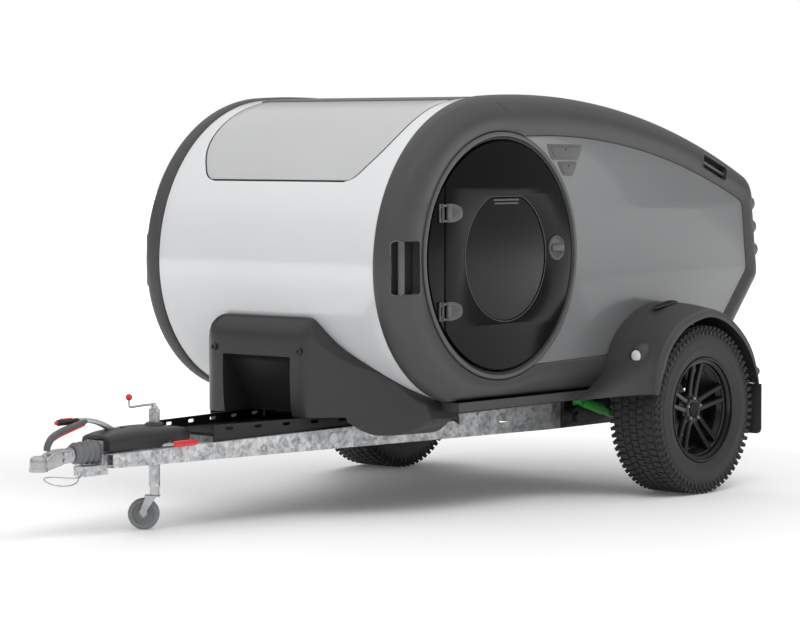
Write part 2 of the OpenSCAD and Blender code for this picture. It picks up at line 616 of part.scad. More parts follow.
// Part of the body shell where the sky window sits
module skylight_region(t0, t1, half) intersection() {
  across(-half, half) shell_band(outline(t0), outline(t1));
  rotate([90, 0, 90]) translate([0, 0, -nose_reach - 20]) linear_extrude(nose_reach - nose_end - 60) polygon([
    [-half + 130, glass_low + glass_half - half], [half - 130, glass_low + glass_half - half], [half, glass_low + 170],
    [half, far], [-half, far], [-half, glass_low + 170]]);
}
module nose_shell() color("whitesmoke") from_axle() difference() {
  panel_across() intersection() {
    shell_band(outline(0), outline(shell_t));
    translate([-nose_end - seat - far, 0]) square(far);
  }
  skylight_region(-1, 13, glass_half + seat);
  skylight_region(-1, shell_t + 1, glass_half - 50);
}
module skylight() color("darkgray") from_axle() skylight_region(0, 12.7, glass_half);

// Hinges of the hatch: axis just above the joint of roof and hatch
hatch_axis = [hatch_x + hatch_gap / 2, roof_at(hatch_x) + 11];
knuckle_r = 9;
hatch_pin_r = 4;
hinge_y = 430;
hinge_w = 60;
module roof_panel() color("#303032") from_axle() {
  panel_across() intersection() {
    shell_band(outline(0), outline(shell_t));
    translate([-nose_end, roof_top - 700]) square([nose_end + hatch_x, far]);
  }
  both_sides() {
    bar_y(hatch_axis[0], -hinge_y - hinge_w, -hinge_y, hatch_axis[1], knuckle_r);
    bar_y(hatch_axis[0], -hinge_y - 1, -hinge_y + hinge_w, hatch_axis[1], hatch_pin_r);
    block([hatch_x - 50, -hinge_y - hinge_w, roof_at(hatch_x) - 8], [hatch_x - 1, -hinge_y, hatch_axis[1] + 4]);
  }
}
module hatch() color("#303032") from_axle() difference() {
  union() {
    across(-panel_half + hatch_gap, panel_half - hatch_gap) intersection() {
      shell_band(outline(0), outline(shell_t));
      polygon([[hatch_x + hatch_gap, far], [hatch_x + hatch_gap, 1300], [500, tail_z], [far, tail_z], [far, far]]);
    }
    both_sides() {
      bar_y(hatch_axis[0], -hinge_y + 1, -hinge_y + hinge_w, hatch_axis[1], knuckle_r);
      block([hatch_axis[0] + 5, -hinge_y + 1, roof_at(hatch_x + 60) - 8], [hatch_x + 60, -hinge_y + hinge_w, hatch_axis[1] + 4]);
    }
  }
  both_sides() bar_y(hatch_axis[0], -hinge_y, -hinge_y + hinge_w + 1, hatch_axis[1], hatch_pin_r + 0.05);
}
module tail_panel() color("#303032") from_axle() panel_across() intersection() {
  shell_band(outline(0), outline(shell_t));
  polygon([[0, belly_z], [500, tail_z - hatch_gap], [far, tail_z - hatch_gap], [far, belly_z]]);
}
floor_front = chin_arc(0, belly_z)[0][0] + 20;
floor_rear = heel_corner(0, heel_round, belly_z)[0];
module floor_pan() color("#28282a") from_axle() {
  block([floor_front, -panel_half + 4, belly_z - floor_t], [floor_rear, panel_half - 4, belly_z - seat]);
  block([floor_front, -drum_in + 16, belly_z - floor_t], [floor_rear, drum_in - 16, belly_z - 0.06 * max(panel_high - belly_z, door_z - frame_r - belly_z)]);
  block([floor_front, -rail_half - rail_w / 2 - 10, beam_top + seat], [rail_rear, rail_half + rail_w / 2 + 10, belly_z - floor_t + 1]);
}

// Cross section of a side moulding: share of the way from outer to inner edge, and distance from the middle
section = [[0, panel_half], [-0.05, panel_half + 26], [-0.03, panel_half + 60], [0.08, panel_half + 92], [0.26, side_out - 10],
  [0.5, side_out], [0.74, side_out - 2], [0.9, side_face + 4], [1, side_face], [1, side_in], [0.25, side_in], [0.22, panel_half]];
module swept_band() {
  loops = [for (p = section) [for (q = between(p[0])) [q[0], -p[1], q[1]]]];
  n = len(loops[0]);
  m = len(loops);
  polyhedron(points = [for (l = loops) each l],
    faces = [for (j = [0:m - 1]) for (i = [0:n - 1])
      let (a = j * n + i, b = j * n + (i + 1) % n, c = ((j + 1) % m) * n + (i + 1) % n, d = ((j + 1) % m) * n + i)
      each [[a, b, c], [a, c, d]]]);
}

// Recesses for grab handles: one beside the door, one on the rear slope
grab_floor = side_in + 6;
grab_low = door_z - 148;
grab_high = door_z + 80;
grab_x = tail_reach - 382;
grab_drop = 73;
grab_half = 105;
module at_rear_grab() translate([grab_x, 0, roof_at(grab_x)])
  rotate([0, asin((grab_x - roof_c[0]) / roof_r), 0]) children();
module grab_bars() color("#2c2c2e") from_axle() both_sides() {
  block([-nose_reach + 37, 14 - side_out, grab_low + seat], [-nose_reach + 75, 26 - side_out, grab_high - seat]);
  at_rear_grab() bar_x(-grab_half + seat, grab_half - seat, 24 - side_out, -grab_drop, 8);
}
module moulding() color("#454547") from_axle() difference() {
  swept_band();
  block([-nose_reach + 13, -side_out - 50, grab_low], [-nose_reach + 163, -grab_floor, grab_high]);
  at_rear_grab() block([-grab_half, -side_out - 50, -grab_drop - 35], [grab_half, -grab_floor, 35 - grab_drop]);
}
module side_panel() color("gray") from_axle() across(-side_face, -side_in)
  polygon(concat(panel_edge(), arc(door_c, frame_r, frame_low - 360, frame_top, 2 * nose_n)));

// ---- Doors ----
frame_fit = frame_r * cos(2.8) - seat;
frame_out = side_face + 6;
hinge_pin_y = leaf_out + 22;
hinge_pin_r = 5;
hinge_r = 10;
hinge_half = 26;
hinge_zs = [190, -225];
latch_at = [leaf_r - 113, 24];
latch_r = 54;
window_at = [26, -4];
module at_door() translate([door_c[0], 0, door_c[1]]) children();
module behind(x) translate([-x, -far]) square([far, 2 * far]);
module door_frame() color("#101012") from_axle() at_door() across(-frame_out, -side_in) difference() {
  circle(r = frame_fit, $fn = 128);
  intersection() {
    circle(r = frame_r - frame_w, $fn = 128);
    behind(hinge_x);
  }
}
module door_hinges() color("#202022") from_axle() both_sides() at_door() for (z = hinge_zs) translate([-hinge_x, 0, z]) {
  translate([0, -hinge_pin_y, -hinge_half - 10]) cylinder(r = hinge_pin_r, h = 2 * hinge_half + 20);
  for (s = [-1, 1]) translate([0, 0, s * (hinge_half + 6)]) translate([0, 0, -5]) {
    translate([0, -hinge_pin_y, 0]) cylinder(r = hinge_r, h = 10);
    block([-40, -hinge_pin_y - 8, 0], [0, -frame_out - seat, 10]);
  }
  block([-42, -frame_out - 10, -hinge_half - 11], [-14, -frame_out - seat, hinge_half + 11]);
}
module door() color("#101012") from_axle() at_door() difference() {
  union() {
    across(-leaf_out, -leaf_out + leaf_t) difference() {
      intersection() {
        circle(r = leaf_r, $fn = 128);
        behind(hinge_x - door_gap);
      }
      translate(window_at) circle(r = window_r, $fn = 128);
    }
    for (z = hinge_zs) translate([-hinge_x, 0, z - hinge_half]) {
      translate([0, -hinge_pin_y, 0]) cylinder(r = hinge_r, h = 2 * hinge_half);
      linear_extrude(2 * hinge_half) polygon([
        [0, -hinge_pin_y - 9], [24, -hinge_pin_y - 8], [50, -leaf_out - 12], [104, -leaf_out - 9], [104, -leaf_out + 1],
        [14, -leaf_out + 1], [9, -hinge_pin_y + 6]]);
    }
    bar_y(latch_at[0], -leaf_out - 10, -leaf_out + 1, latch_at[1], latch_r);
  }
  for (z = hinge_zs) translate([-hinge_x, -hinge_pin_y, z - hinge_half - 1]) cylinder(r = hinge_pin_r + 0.05, h = 2 * hinge_half + 2);
}
module door_window() color("#202024") from_axle() at_door() translate([window_at[0], 0, window_at[1]])
  across(-leaf_out + 1, -leaf_out + 7) circle(r = window_r - seat, $fn = 128);

// Cover over the lower nose: its side view cut by its front view
cover_half = panel_half + 16;
cover_alcove = 196;
cover_flat = cover_half - 360;
cover_wing = nose_reach - 389;
cover_edge = [[20, 500], [151, 629], [278, 724], [340, 806], [378, 858]];
module nose_cover() color("#2a2a2c") from_axle() difference() {
  intersection() {
    across(-cover_half - 10, cover_half + 10) translate([-nose_reach, 0]) polygon([
      [159, 900], [29, 860], [-41, 800], [-56, 620], [-41, 450], [-1, 360], [499, 346], [559, 470]]);
    rotate([90, 0, 90]) translate([0, 0, -nose_reach - 141]) linear_extrude(800) polygon([
      each [for (p = cover_edge) [p[0] - cover_half, p[1]]], each rev([for (p = cover_edge) [cover_half - p[0], p[1]]]),
      [cover_half, 400], [cover_half - 40, 346], [40 - cover_half, 346], [-cover_half, 400]]);
    // Swept-back wings, in plan
    translate([0, 0, 300]) linear_extrude(600) polygon([
      [-nose_reach - 141, -cover_flat], [-nose_reach - 46, -cover_flat], [-cover_wing, -cover_half - 5], [-nose_reach + 700, -cover_half - 5],
      [-nose_reach + 700, cover_half + 5], [-cover_wing, cover_half + 5], [-nose_reach - 46, cover_flat], [-nose_reach - 141, cover_flat]]);
  }
  across(-700, 700) polygon(outline(-1));
  block([floor_front - 6, -660, belly_z - 90], [floor_front + 300, 660, belly_z + 1]);
  block([-nose_reach - 141, -400, 300], [-nose_reach + 660, 400, tray_lip + 8]);
  // Alcove in the front face, above the tray
  across(-cover_alcove, cover_alcove) polygon([
    [-nose_reach - 141, tray_lip + 6], [-nose_reach - 141, 690], [-nose_reach + 32, 690], [-nose_reach + 200, tray_lip + 6]]);
}
// Lamp plates on the tail, with three round lenses each
module tail_lamps() color("red") from_axle() both_sides() {
  across(-panel_half - 76, -panel_half - 10) polygon([
    tail_p - lamp_gap * tail_in + 12 * tail_up, tail_p - lamp_gap * tail_in + 412 * tail_up,
    tail_p - (lamp_gap + lamp_plate) * tail_in + 412 * tail_up, tail_p - (lamp_gap + lamp_plate) * tail_in + 12 * tail_up]);
  for (z = lens_z) let (x = tail_x(z) + lamp_gap + lamp_plate)
    bar_x(x - 4, x + lens_len, -panel_half - 43, tail_z + z, lens_r);
}

drawbar_beams();
frame_rails();
cross_members();
trailing_arms();
stub_axles();
shock_absorbers();
brake_drum();  // left_brake_drum
on_right() brake_drum();  // right_brake_drum
rim();  // left_rim
on_right() rim();  // right_rim
tyre();  // left_tyre
on_right() tyre();  // right_tyre
fender();  // left_fender
on_right() fender();  // right_fender
mudflaps();
marker_lamps();
coupling_head();
coupling_handle();
coupling_shaft();
bellows();
coupling_housing();
handbrake_lever();
handbrake_grip();
brake_rod();
breakaway_cable();
drawbar_cover();
drawbar_tray();
jockey_tube();
jockey_post();
jockey_handles();
jockey_fork();
jockey_wheel();
nose_cover();
floor_pan();
nose_shell();
skylight();
roof_panel();
hatch();
tail_panel();
moulding();  // left_moulding
on_right() moulding();  // right_moulding
grab_bars();
side_panel();  // left_side_panel
on_right() side_panel();  // right_side_panel
door_frame();  // left_door_frame
on_right() door_frame();  // right_door_frame
door_hinges();
door();  // left_door
on_right() door();  // right_door
door_window();  // left_door_window
on_right() door_window();  // right_door_window
tail_lamps();
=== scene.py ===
import math
import bpy
import bmesh
import numpy as np
from mathutils import Matrix, Vector
from mathutils.bvhtree import BVHTree


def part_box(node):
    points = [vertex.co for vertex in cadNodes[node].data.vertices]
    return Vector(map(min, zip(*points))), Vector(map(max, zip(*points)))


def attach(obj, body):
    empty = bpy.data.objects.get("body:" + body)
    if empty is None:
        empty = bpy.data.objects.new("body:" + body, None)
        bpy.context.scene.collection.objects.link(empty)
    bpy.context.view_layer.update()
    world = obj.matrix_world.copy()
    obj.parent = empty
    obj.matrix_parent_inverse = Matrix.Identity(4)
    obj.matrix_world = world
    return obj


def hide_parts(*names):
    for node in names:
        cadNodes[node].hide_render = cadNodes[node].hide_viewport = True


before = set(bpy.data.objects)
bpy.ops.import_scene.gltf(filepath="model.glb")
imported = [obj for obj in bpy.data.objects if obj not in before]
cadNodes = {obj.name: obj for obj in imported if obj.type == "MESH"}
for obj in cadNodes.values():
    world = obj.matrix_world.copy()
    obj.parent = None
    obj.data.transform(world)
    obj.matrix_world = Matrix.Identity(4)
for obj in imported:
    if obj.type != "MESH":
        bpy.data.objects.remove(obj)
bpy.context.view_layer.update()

tyreLow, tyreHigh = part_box("left_tyre")
axleX = (tyreLow.x + tyreHigh.x) / 2
hubZ = (tyreLow.z + tyreHigh.z) / 2
trackHalf = -(tyreLow.y + tyreHigh.y) / 2

# Where the trailer is seen from
viewpoint = dict(behindAxle=-11.463, side=-8.900, height=1.604, turn=-0.8685, dip=0.0548, lens=137.24)
camera = bpy.data.objects.new("camera", bpy.data.cameras.new("camera"))
bpy.context.scene.collection.objects.link(camera)
camera.location = (axleX + viewpoint["behindAxle"], viewpoint["side"], viewpoint["height"])
camera.rotation_euler = (math.pi / 2 - viewpoint["dip"], 0, viewpoint["turn"])
camera.data.lens = viewpoint["lens"]
camera.data.sensor_width = 36
camera.data.clip_end = 200
bpy.context.scene.camera = camera
print("camera ready")


# A smooth curve through given points
def curveThrough(points, count):
    p = np.asarray(points, float)
    last = len(p) - 1
    out = []
    for k in range(count + 1):
        t = k * last / count
        i = min(int(t), last - 1)
        t -= i
        a, b, c, d = (p[min(max(j, 0), last)] for j in (i - 1, i, i + 1, i + 2))
        bend = (2 * a - 5 * b + 4 * c - d) * t * t + (3 * b - a - 3 * c + d) * t ** 3
        out.append(0.5 * (2 * b + (c - a) * t + bend))
    return np.asarray(out)


# The breakaway cable's route, as it runs in the CAD; the path is worked out here, but no cable is made from
# it
cableShape = dict(diameter=0.005, rings=68)
cablePoints = [(-2.932, 0.006, 0.2532), (-2.950, 0.004, 0.246), (-2.966, -0.010, 0.242),
               (-2.990, -0.030, 0.238), (-3.020, -0.046, 0.234), (-3.052, -0.054, 0.231),
               (-3.084, -0.052, 0.231), (-3.108, -0.038, 0.234), (-3.120, -0.014, 0.240),
               (-3.120, 0.014, 0.248), (-3.108, 0.038, 0.254), (-3.084, 0.052, 0.257),
               (-3.052, 0.054, 0.257), (-3.020, 0.046, 0.254), (-2.990, 0.032, 0.250),
               (-2.966, 0.018, 0.248), (-2.950, 0.014, 0.249), (-2.932, 0.014, 0.2532)]
cablePath = [(axleX + x, y, z) for x, y, z in curveThrough(cablePoints, cableShape["rings"])]


# Shader and geometry graphs, written as Python
class Wire:
    def __init__(self, graph, socket):
        self.graph, self.socket = graph, socket

    def __add__(self, other):
        return self.graph.math("ADD", self, other)

    def __sub__(self, other):
        return self.graph.math("SUBTRACT", self, other)

    def __rsub__(self, other):
        return self.graph.math("SUBTRACT", other, self)

    def __mul__(self, other):
        return self.graph.math("MULTIPLY", self, other)

    def __truediv__(self, other):
        return self.graph.math("DIVIDE", self, other)

    __radd__ = __add__
    __rmul__ = __mul__


class Graph:
    def __init__(self, tree):
        self.tree = tree
        tree.nodes.clear()

    def add(self, kind, settings=None, inputs=None):
        node = self.tree.nodes.new(kind)
        for key, value in (settings or {}).items():
            if key == "stops":
                ramp = node.color_ramp
                while len(ramp.elements) < len(value):
                    ramp.elements.new(0.5)
                for stop, (place, tone) in zip(ramp.elements, value):
                    stop.position, stop.color = place, (tone, tone, tone, 1)
            else:
                setattr(node, key, value)
        for key, value in (inputs or {}).items():
            value = value.socket if isinstance(value, Wire) else value
            if isinstance(value, bpy.types.NodeSocket):
                self.tree.links.new(value, node.inputs[key])
            elif value is not None:
                node.inputs[key].default_value = value
        return node

    def wire(self, node, output=0):
        return Wire(self, node.outputs[output])

    def math(self, operation, a, b=0.0):
        return self.wire(self.add("ShaderNodeMath", {"operation": operation}, {0: a, 1: b}))


class Finish(Graph):
    def __init__(self, name, **sockets):
        self.material = bpy.data.materials.new(name)
        self.material.use_nodes = True
        super().__init__(self.material.node_tree)
        self.shader = self.add("ShaderNodeBsdfPrincipled")
        self.add("ShaderNodeOutputMaterial", None, {"Surface": self.shader.outputs[0]})
        self.place = self.wire(self.add("ShaderNodeTexCoord"), "Object")
        for key, value in sockets.items():
            self.put(key, value)

    def put(self, key, value):
        socket = self.shader.inputs[key]
        if isinstance(value, Wire):
            self.tree.links.new(value.socket, socket)
        elif isinstance(value, tuple) and len(value) == 3:
            socket.default_value = (*value, 1)
        else:
            socket.default_value = value

    def noise(self, scale, detail=2.0, roughness=0.5):
        return self.wire(self.add("ShaderNodeTexNoise", None, {
            "Vector": self.place, "Scale": scale, "Detail": detail, "Roughness": roughness}), "Fac")

    def cells(self, scale, output="Distance", randomness=1.0):
        return self.wire(self.add("ShaderNodeTexVoronoi", None, {
            "Vector": self.place, "Scale": scale, "Randomness": randomness}), output)

    def curve(self, value, *stops):
        return self.wire(self.add("ShaderNodeValToRGB", {"stops": stops}, {"Fac": value}), "Color")

    def blendColours(self, mask, a, b):
        shade = self.add("ShaderNodeMix", {"data_type": "RGBA"}, {0: mask, 6: (*a, 1), 7: (*b, 1)})
        return self.wire(shade, 2)

    def relief(self, height, depth):
        bump = self.add("ShaderNodeBump", None, {"Height": height, "Distance": depth})
        self.put("Normal", self.wire(bump, "Normal"))


def scaled(colour, factor):
    return tuple(min(1, c * factor) for c in colour)


# Painted, moulded and bare surfaces: base colour, spread of tone, size of patches, roughness,
# grain per metre and its depth, and shader values
finishes = {
    "noseWhite": dict(colour=(0.60, 0.61, 0.62), spread=0.03, patches=3, rough=0.2, grain=260,
                      depth=0.00012, coat=1.0),
    "sideGrey": dict(colour=(0.165, 0.169, 0.172), spread=0.06, patches=4, rough=0.36, grain=900,
                     depth=0.0001, coat=0.35, metal=0.25),
    "mouldingGrey": dict(colour=(0.042, 0.042, 0.043), spread=0.12, patches=6, rough=0.43, grain=1100,
                         depth=0.0003),
    "fenderGrey": dict(colour=(0.040, 0.040, 0.041), spread=0.14, patches=7, rough=0.46, grain=1000,
                       depth=0.0003),
    "coverBlack": dict(colour=(0.024, 0.024, 0.025), spread=0.12, patches=8, rough=0.38, grain=1000,
                       depth=0.00025),
    "roofDark": dict(colour=(0.022, 0.022, 0.023), spread=0.1, patches=5, rough=0.35, grain=700,
                     depth=0.0001, coat=0.3),
    "trimSatin": dict(colour=(0.075, 0.076, 0.078), spread=0.1, patches=20, rough=0.38, grain=900,
                      depth=0.0002),
    "doorGloss": dict(colour=(0.0042, 0.0045, 0.005), spread=0.2, patches=4, rough=0.16, grain=300,
                      depth=0.00004, level=0.13),
    "paneDark": dict(colour=(0.008, 0.008, 0.009), spread=0.15, patches=3, rough=0.24, grain=160,
                     depth=0.00003, level=0.22),
    # Black for small black parts, gaps and seals; also laid on recess floors as painted shade
    "gapBlack": dict(colour=(0.006, 0.006, 0.006), spread=0.2, patches=30, rough=0.8, grain=800,
                     depth=0.0003),
    "fittingGrey": dict(colour=(0.085, 0.087, 0.089), spread=0.1, patches=30, rough=0.42, grain=1300,
                        depth=0.00025),
    "trayBlack": dict(colour=(0.006, 0.006, 0.0065), spread=0.2, patches=12, rough=0.4, grain=1200,
                      depth=0.0003),
    "railDark": dict(colour=(0.045, 0.046, 0.049), spread=0.1, patches=14, rough=0.42, grain=900,
                     depth=0.0002),
    "frameDark": dict(colour=(0.018, 0.02, 0.019), spread=0.25, patches=10, rough=0.5, grain=500,
                      depth=0.0004, coat=0.1),
    "castDrum": dict(colour=(0.30, 0.29, 0.28), spread=0.2, patches=25, rough=0.5, grain=500, depth=0.0005,
                     metal=0.8),
    "plainSteel": dict(colour=(0.55, 0.56, 0.57), spread=0.12, patches=40, rough=0.3, grain=900,
                       depth=0.0002, metal=0.95),
    "castSilver": dict(colour=(0.5, 0.51, 0.52), spread=0.3, patches=28, rough=0.3, grain=260, depth=0.0009,
                       metal=0.85),
    "bellowsGrey": dict(colour=(0.14, 0.145, 0.15), spread=0.12, patches=22, rough=0.5, grain=900,
                        depth=0.0003),
    "gripBlack": dict(colour=(0.015, 0.015, 0.016), spread=0.15, patches=30, rough=0.4, grain=1400,
                      depth=0.0003),
    "handleGrey": dict(colour=(0.085, 0.086, 0.09), spread=0.12, patches=25, rough=0.42, grain=1100,
                       depth=0.0003),
    "gripRed": dict(colour=(0.62, 0.012, 0.012), spread=0.1, patches=25, rough=0.3, grain=700,
                    depth=0.00015, coat=0.3),
    "damperGreen": dict(colour=(0.02, 0.36, 0.045), spread=0.12, patches=18, rough=0.34, grain=600,
                        depth=0.0002, coat=0.3),
    "wheelGloss": dict(colour=(0.007, 0.007, 0.0075), spread=0.2, patches=10, rough=0.2, grain=400,
                       depth=0.00006, level=0.3),
    "flapRubber": dict(colour=(0.03, 0.03, 0.031), spread=0.15, patches=10, rough=0.55, grain=800,
                       depth=0.0004),
    "jockeyRubber": dict(colour=(0.21, 0.215, 0.22), spread=0.12, patches=24, rough=0.6, grain=900,
                         depth=0.0004),
    "tyreRubber": dict(colour=(0.024, 0.024, 0.025), spread=0.25, patches=14, rough=0.62, grain=650,
                       depth=0.0005),
    "cabinLining": dict(colour=(0.42, 0.41, 0.38), spread=0.08, patches=14, rough=0.8, grain=1500,
                        depth=0.0004),
    "underseal": dict(colour=(0.02, 0.02, 0.02), spread=0.3, patches=9, rough=0.75, grain=260,
                      depth=0.0012),
}


def plainFinish(name, colour, spread, patches, rough, grain, depth, coat=0.0, metal=0.0, level=0.5):
    it = Finish(name, **{"Metallic": metal, "Coat Weight": coat, "Coat Roughness": 0.06,
                         "Specular IOR Level": level})
    mask = it.noise(patches, 4, 0.55)
    it.put("Base Color", it.blendColours(mask, scaled(colour, 1 - spread), scaled(colour, 1 + spread)))
    fine = it.noise(grain, 2, 0.6)
    it.put("Roughness", it.math("MINIMUM", rough * (0.9 + mask * 0.14) + (fine - 0.5) * 0.06, 1.0))
    it.relief(fine, depth)
    return it.material


def zincFinish(name, light, dark, spangle):
    it = Finish(name, Metallic=0.72)
    crystal = it.wire(it.add("ShaderNodeSeparateColor", None, {0: it.cells(spangle, output="Color")}), 0)
    broad = it.cells(spangle * 0.4, output="Color")
    patch = it.wire(it.add("ShaderNodeSeparateColor", None, {0: broad}), 1)
    cloud = it.noise(30, 4, 0.6)
    tone = it.math("MULTIPLY", crystal * 0.42 + patch * 0.33 + cloud * 0.4, 0.95)
    tone = it.curve(tone, (0.18, 0.0), (0.86, 1.0))
    it.put("Base Color", it.blendColours(tone, dark, light))
    it.put("Roughness", 0.52 - crystal * 0.14)
    it.relief(crystal * 0.6 + it.noise(420, 2) * 0.5, 0.0004)
    return it.material


def lensFinish(name, colour, ribs, spread):
    it = Finish(name, Roughness=0.12, **{"Coat Weight": 0.8})
    facets = it.cells(ribs, randomness=0.12)
    it.put("Base Color", it.blendColours(facets, colour, scaled(colour, 1 - spread)))
    it.relief(facets, 0.0008)
    return it.material


def mirrorFinish(name, colour):
    it = Finish(name, Metallic=0.55, **{"Coat Weight": 0.7, "Coat Roughness": 0.03})
    haze = it.noise(2.2, 3)
    it.put("Base Color", it.blendColours(haze, scaled(colour, 0.94), scaled(colour, 1.06)))
    it.put("Roughness", 0.2 + it.noise(30, 2) * 0.04)
    it.relief(it.noise(6, 1), 0.0002)
    return it.material


def spottedFinish(name, colour, dust):
    it = Finish(name, Metallic=0.0)
    road = it.noise(40, 5, 0.65)
    it.put("Base Color", it.blendColours(road, colour, dust))
    it.put("Roughness", 0.55 + road * 0.2)
    it.relief(it.noise(520, 3), 0.0006)
    return it.material


look = {name: plainFinish(name, **values) for name, values in finishes.items()}
look["zinc"] = zincFinish("zinc", (0.74, 0.75, 0.765), (0.29, 0.295, 0.305), 62)
look["whiteLens"] = lensFinish("whiteLens", (0.83, 0.83, 0.84), 130, 0.35)
look["redLens"] = lensFinish("redLens", (0.30, 0.022, 0.026), 150, 0.5)
look["skyPane"] = mirrorFinish("skyPane", (0.52, 0.525, 0.53))
look["treadRubber"] = spottedFinish("treadRubber", (0.022, 0.022, 0.023), (0.032, 0.031, 0.03))
print("finishes ready", len(look))


# Meshes: joined points, lofts, turned parts, plates and blocks
def tidyMesh(mesh, closed=True, angle=40, merge=1e-5):
    work = bmesh.new()
    work.from_mesh(mesh)
    bmesh.ops.remove_doubles(work, verts=work.verts, dist=merge)
    bmesh.ops.dissolve_degenerate(work, edges=work.edges, dist=1e-7)
    if closed:
        bmesh.ops.recalc_face_normals(work, faces=work.faces)
    work.to_mesh(mesh)
    work.free()
    mesh.polygons.foreach_set("use_smooth", [True] * len(mesh.polygons))
    mesh.set_sharp_from_angle(angle=math.radians(angle))


def meshPiece(name, verts, faces, finish, closed=True, angle=40):
    mesh = bpy.data.meshes.new(name)
    mesh.from_pydata([tuple(map(float, v)) for v in verts], [], [tuple(map(int, f)) for f in faces])
    tidyMesh(mesh, closed, angle)
    mesh.materials.append(look[finish])
    piece = bpy.data.objects.new(name, mesh)
    bpy.context.scene.collection.objects.link(piece)
    return piece


def assign(piece, body, slotName, *replaced):
    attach(piece, body)
    if replaced:
        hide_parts(*replaced)
    return piece


def gridFaces(rows, columns, wrapRows=False, wrapColumns=False):
    faces = []
    for i in range(rows if wrapRows else rows - 1):
        for j in range(columns if wrapColumns else columns - 1):
            a, b = i * columns + j, i * columns + (j + 1) % columns
            c, d = ((i + 1) % rows) * columns + (j + 1) % columns, ((i + 1) % rows) * columns + j
            faces.append((a, b, c, d))
    return faces


def loft(name, loops, finish, caps=True, closedPath=False, angle=40):
    loops = np.asarray(loops, float)
    rows, columns = loops.shape[:2]
    faces = gridFaces(rows, columns, closedPath, True)
    if caps and not closedPath:
        faces += [tuple(range(columns)), tuple(range((rows - 1) * columns, rows * columns))[::-1]]
    return meshPiece(name, loops.reshape(-1, 3), faces, finish, True, angle)


def turned(name, profile, finish, centre, axis="Y", segments=72, angle=35, side=1):
    loops = []
    for r, h in profile:
        ring = []
        for k in range(segments):
            t = 2 * math.pi * k / segments
            u, v = r * math.cos(t), r * math.sin(t)
            ring.append({"Y": (u, side * h, v), "Z": (u, v, h), "X": (h, u, v)}[axis])
        loops.append(ring)
    points = np.asarray(loops).reshape(-1, 3) + np.asarray(centre, float)
    return meshPiece(name, points, gridFaces(len(profile), segments, True, True), finish, True, angle)


def roundCorners(points, radius, steps=6):
    p = [np.asarray(q, float) for q in points]
    out = []
    for i, b in enumerate(p):
        a, c = p[i - 1], p[(i + 1) % len(p)]
        r = radius[i] if isinstance(radius, (list, tuple)) else radius
        u, v = a - b, c - b
        cut = min(r, 0.49 * np.linalg.norm(u), 0.49 * np.linalg.norm(v))
        u, v = b + u / np.linalg.norm(u) * cut, b + v / np.linalg.norm(v) * cut
        for k in range(steps + 1):
            t = k / steps
            out.append((1 - t) ** 2 * u + 2 * t * (1 - t) * b + t * t * v)
    return np.asarray(out)


def softBox(u0, v0, u1, v1, radius, steps=6):
    return roundCorners([(u0, v0), (u1, v0), (u1, v1), (u0, v1)], radius, steps)


# A flat plate with holes and rounded edges: its loops are (u, v), and put gives the plate's place
def plate(name, loops, thick, finish, put, bevel=0.002):
    curve = bpy.data.curves.new(name, "CURVE")
    curve.dimensions = "2D"
    curve.fill_mode = "BOTH"
    curve.extrude = max(thick / 2 - bevel, 0.0001)
    curve.bevel_depth, curve.bevel_resolution, curve.offset = bevel, 2, -bevel
    for points in loops:
        line = curve.splines.new("POLY")
        line.points.add(len(points) - 1)
        for target, (u, v) in zip(line.points, points):
            target.co = (u, v, 0, 1)
        line.use_cyclic_u = True
    holder = bpy.data.objects.new(name + "_outline", curve)
    bpy.context.scene.collection.objects.link(holder)
    mesh = bpy.data.meshes.new_from_object(holder.evaluated_get(bpy.context.evaluated_depsgraph_get()))
    bpy.data.objects.remove(holder)
    mesh.name = name
    mesh.transform(put)
    mesh.materials.clear()
    mesh.materials.append(look[finish])
    tidyMesh(mesh, True, 35, 2e-5)
    piece = bpy.data.objects.new(name, mesh)
    bpy.context.scene.collection.objects.link(piece)
    return piece


# Plates that face sideways: u runs rearwards, v runs up, and the outer face lies at y
def sidePut(y, thick, centre=(0, 0)):
    return Matrix(((1, 0, 0, centre[0]), (0, 0, -1, thick / 2 - y), (0, 1, 0, centre[1]), (0, 0, 0, 1)))


# Plates that face rearwards: u runs across, and v runs up
def rearwards(x=0.0):
    return Matrix(((0, 0, 1, x), (1, 0, 0, 0), (0, 1, 0, 0), (0, 0, 0, 1)))


def flatPut(x, y, z):
    return Matrix.Translation((x, y, z))


def tilted(place, angle):
    return Matrix.Translation(place) @ Matrix.Rotation(angle, 4, "Y")


def tubeLoops(path, radius, sides=16, upHint=(0, 0, 1)):
    path = np.asarray(path, float)
    radius = np.broadcast_to(np.asarray(radius, float), len(path))
    along = np.gradient(path, axis=0)
    along /= np.linalg.norm(along, axis=1)[:, None]
    u = np.cross(upHint, along[0])
    if np.linalg.norm(u) < 0.01:
        u = np.cross((0, 1, 0), along[0])
    loops = []
    for p, w, r in zip(path, along, radius):
        u = u - np.dot(u, w) * w
        u = u / np.linalg.norm(u)
        v = np.cross(w, u)
        loops.append([p + r * (math.cos(t) * u + math.sin(t) * v)
                      for t in np.linspace(0, 2 * math.pi, sides, endpoint=False)])
    return np.asarray(loops)


def rod(name, path, radius, finish, sides=16):
    return loft(name, tubeLoops(path, radius, sides), finish, angle=50)


def join(name, pieces):
    bpy.ops.object.select_all(action="DESELECT")
    for piece in pieces:
        piece.select_set(True)
    bpy.context.view_layer.objects.active = pieces[0]
    bpy.ops.object.join()
    pieces[0].name = name
    return pieces[0]


def modified(piece, kind, **settings):
    change = piece.modifiers.new(kind.lower(), kind)
    for key, value in settings.items():
        setattr(change, key, value)
    return change


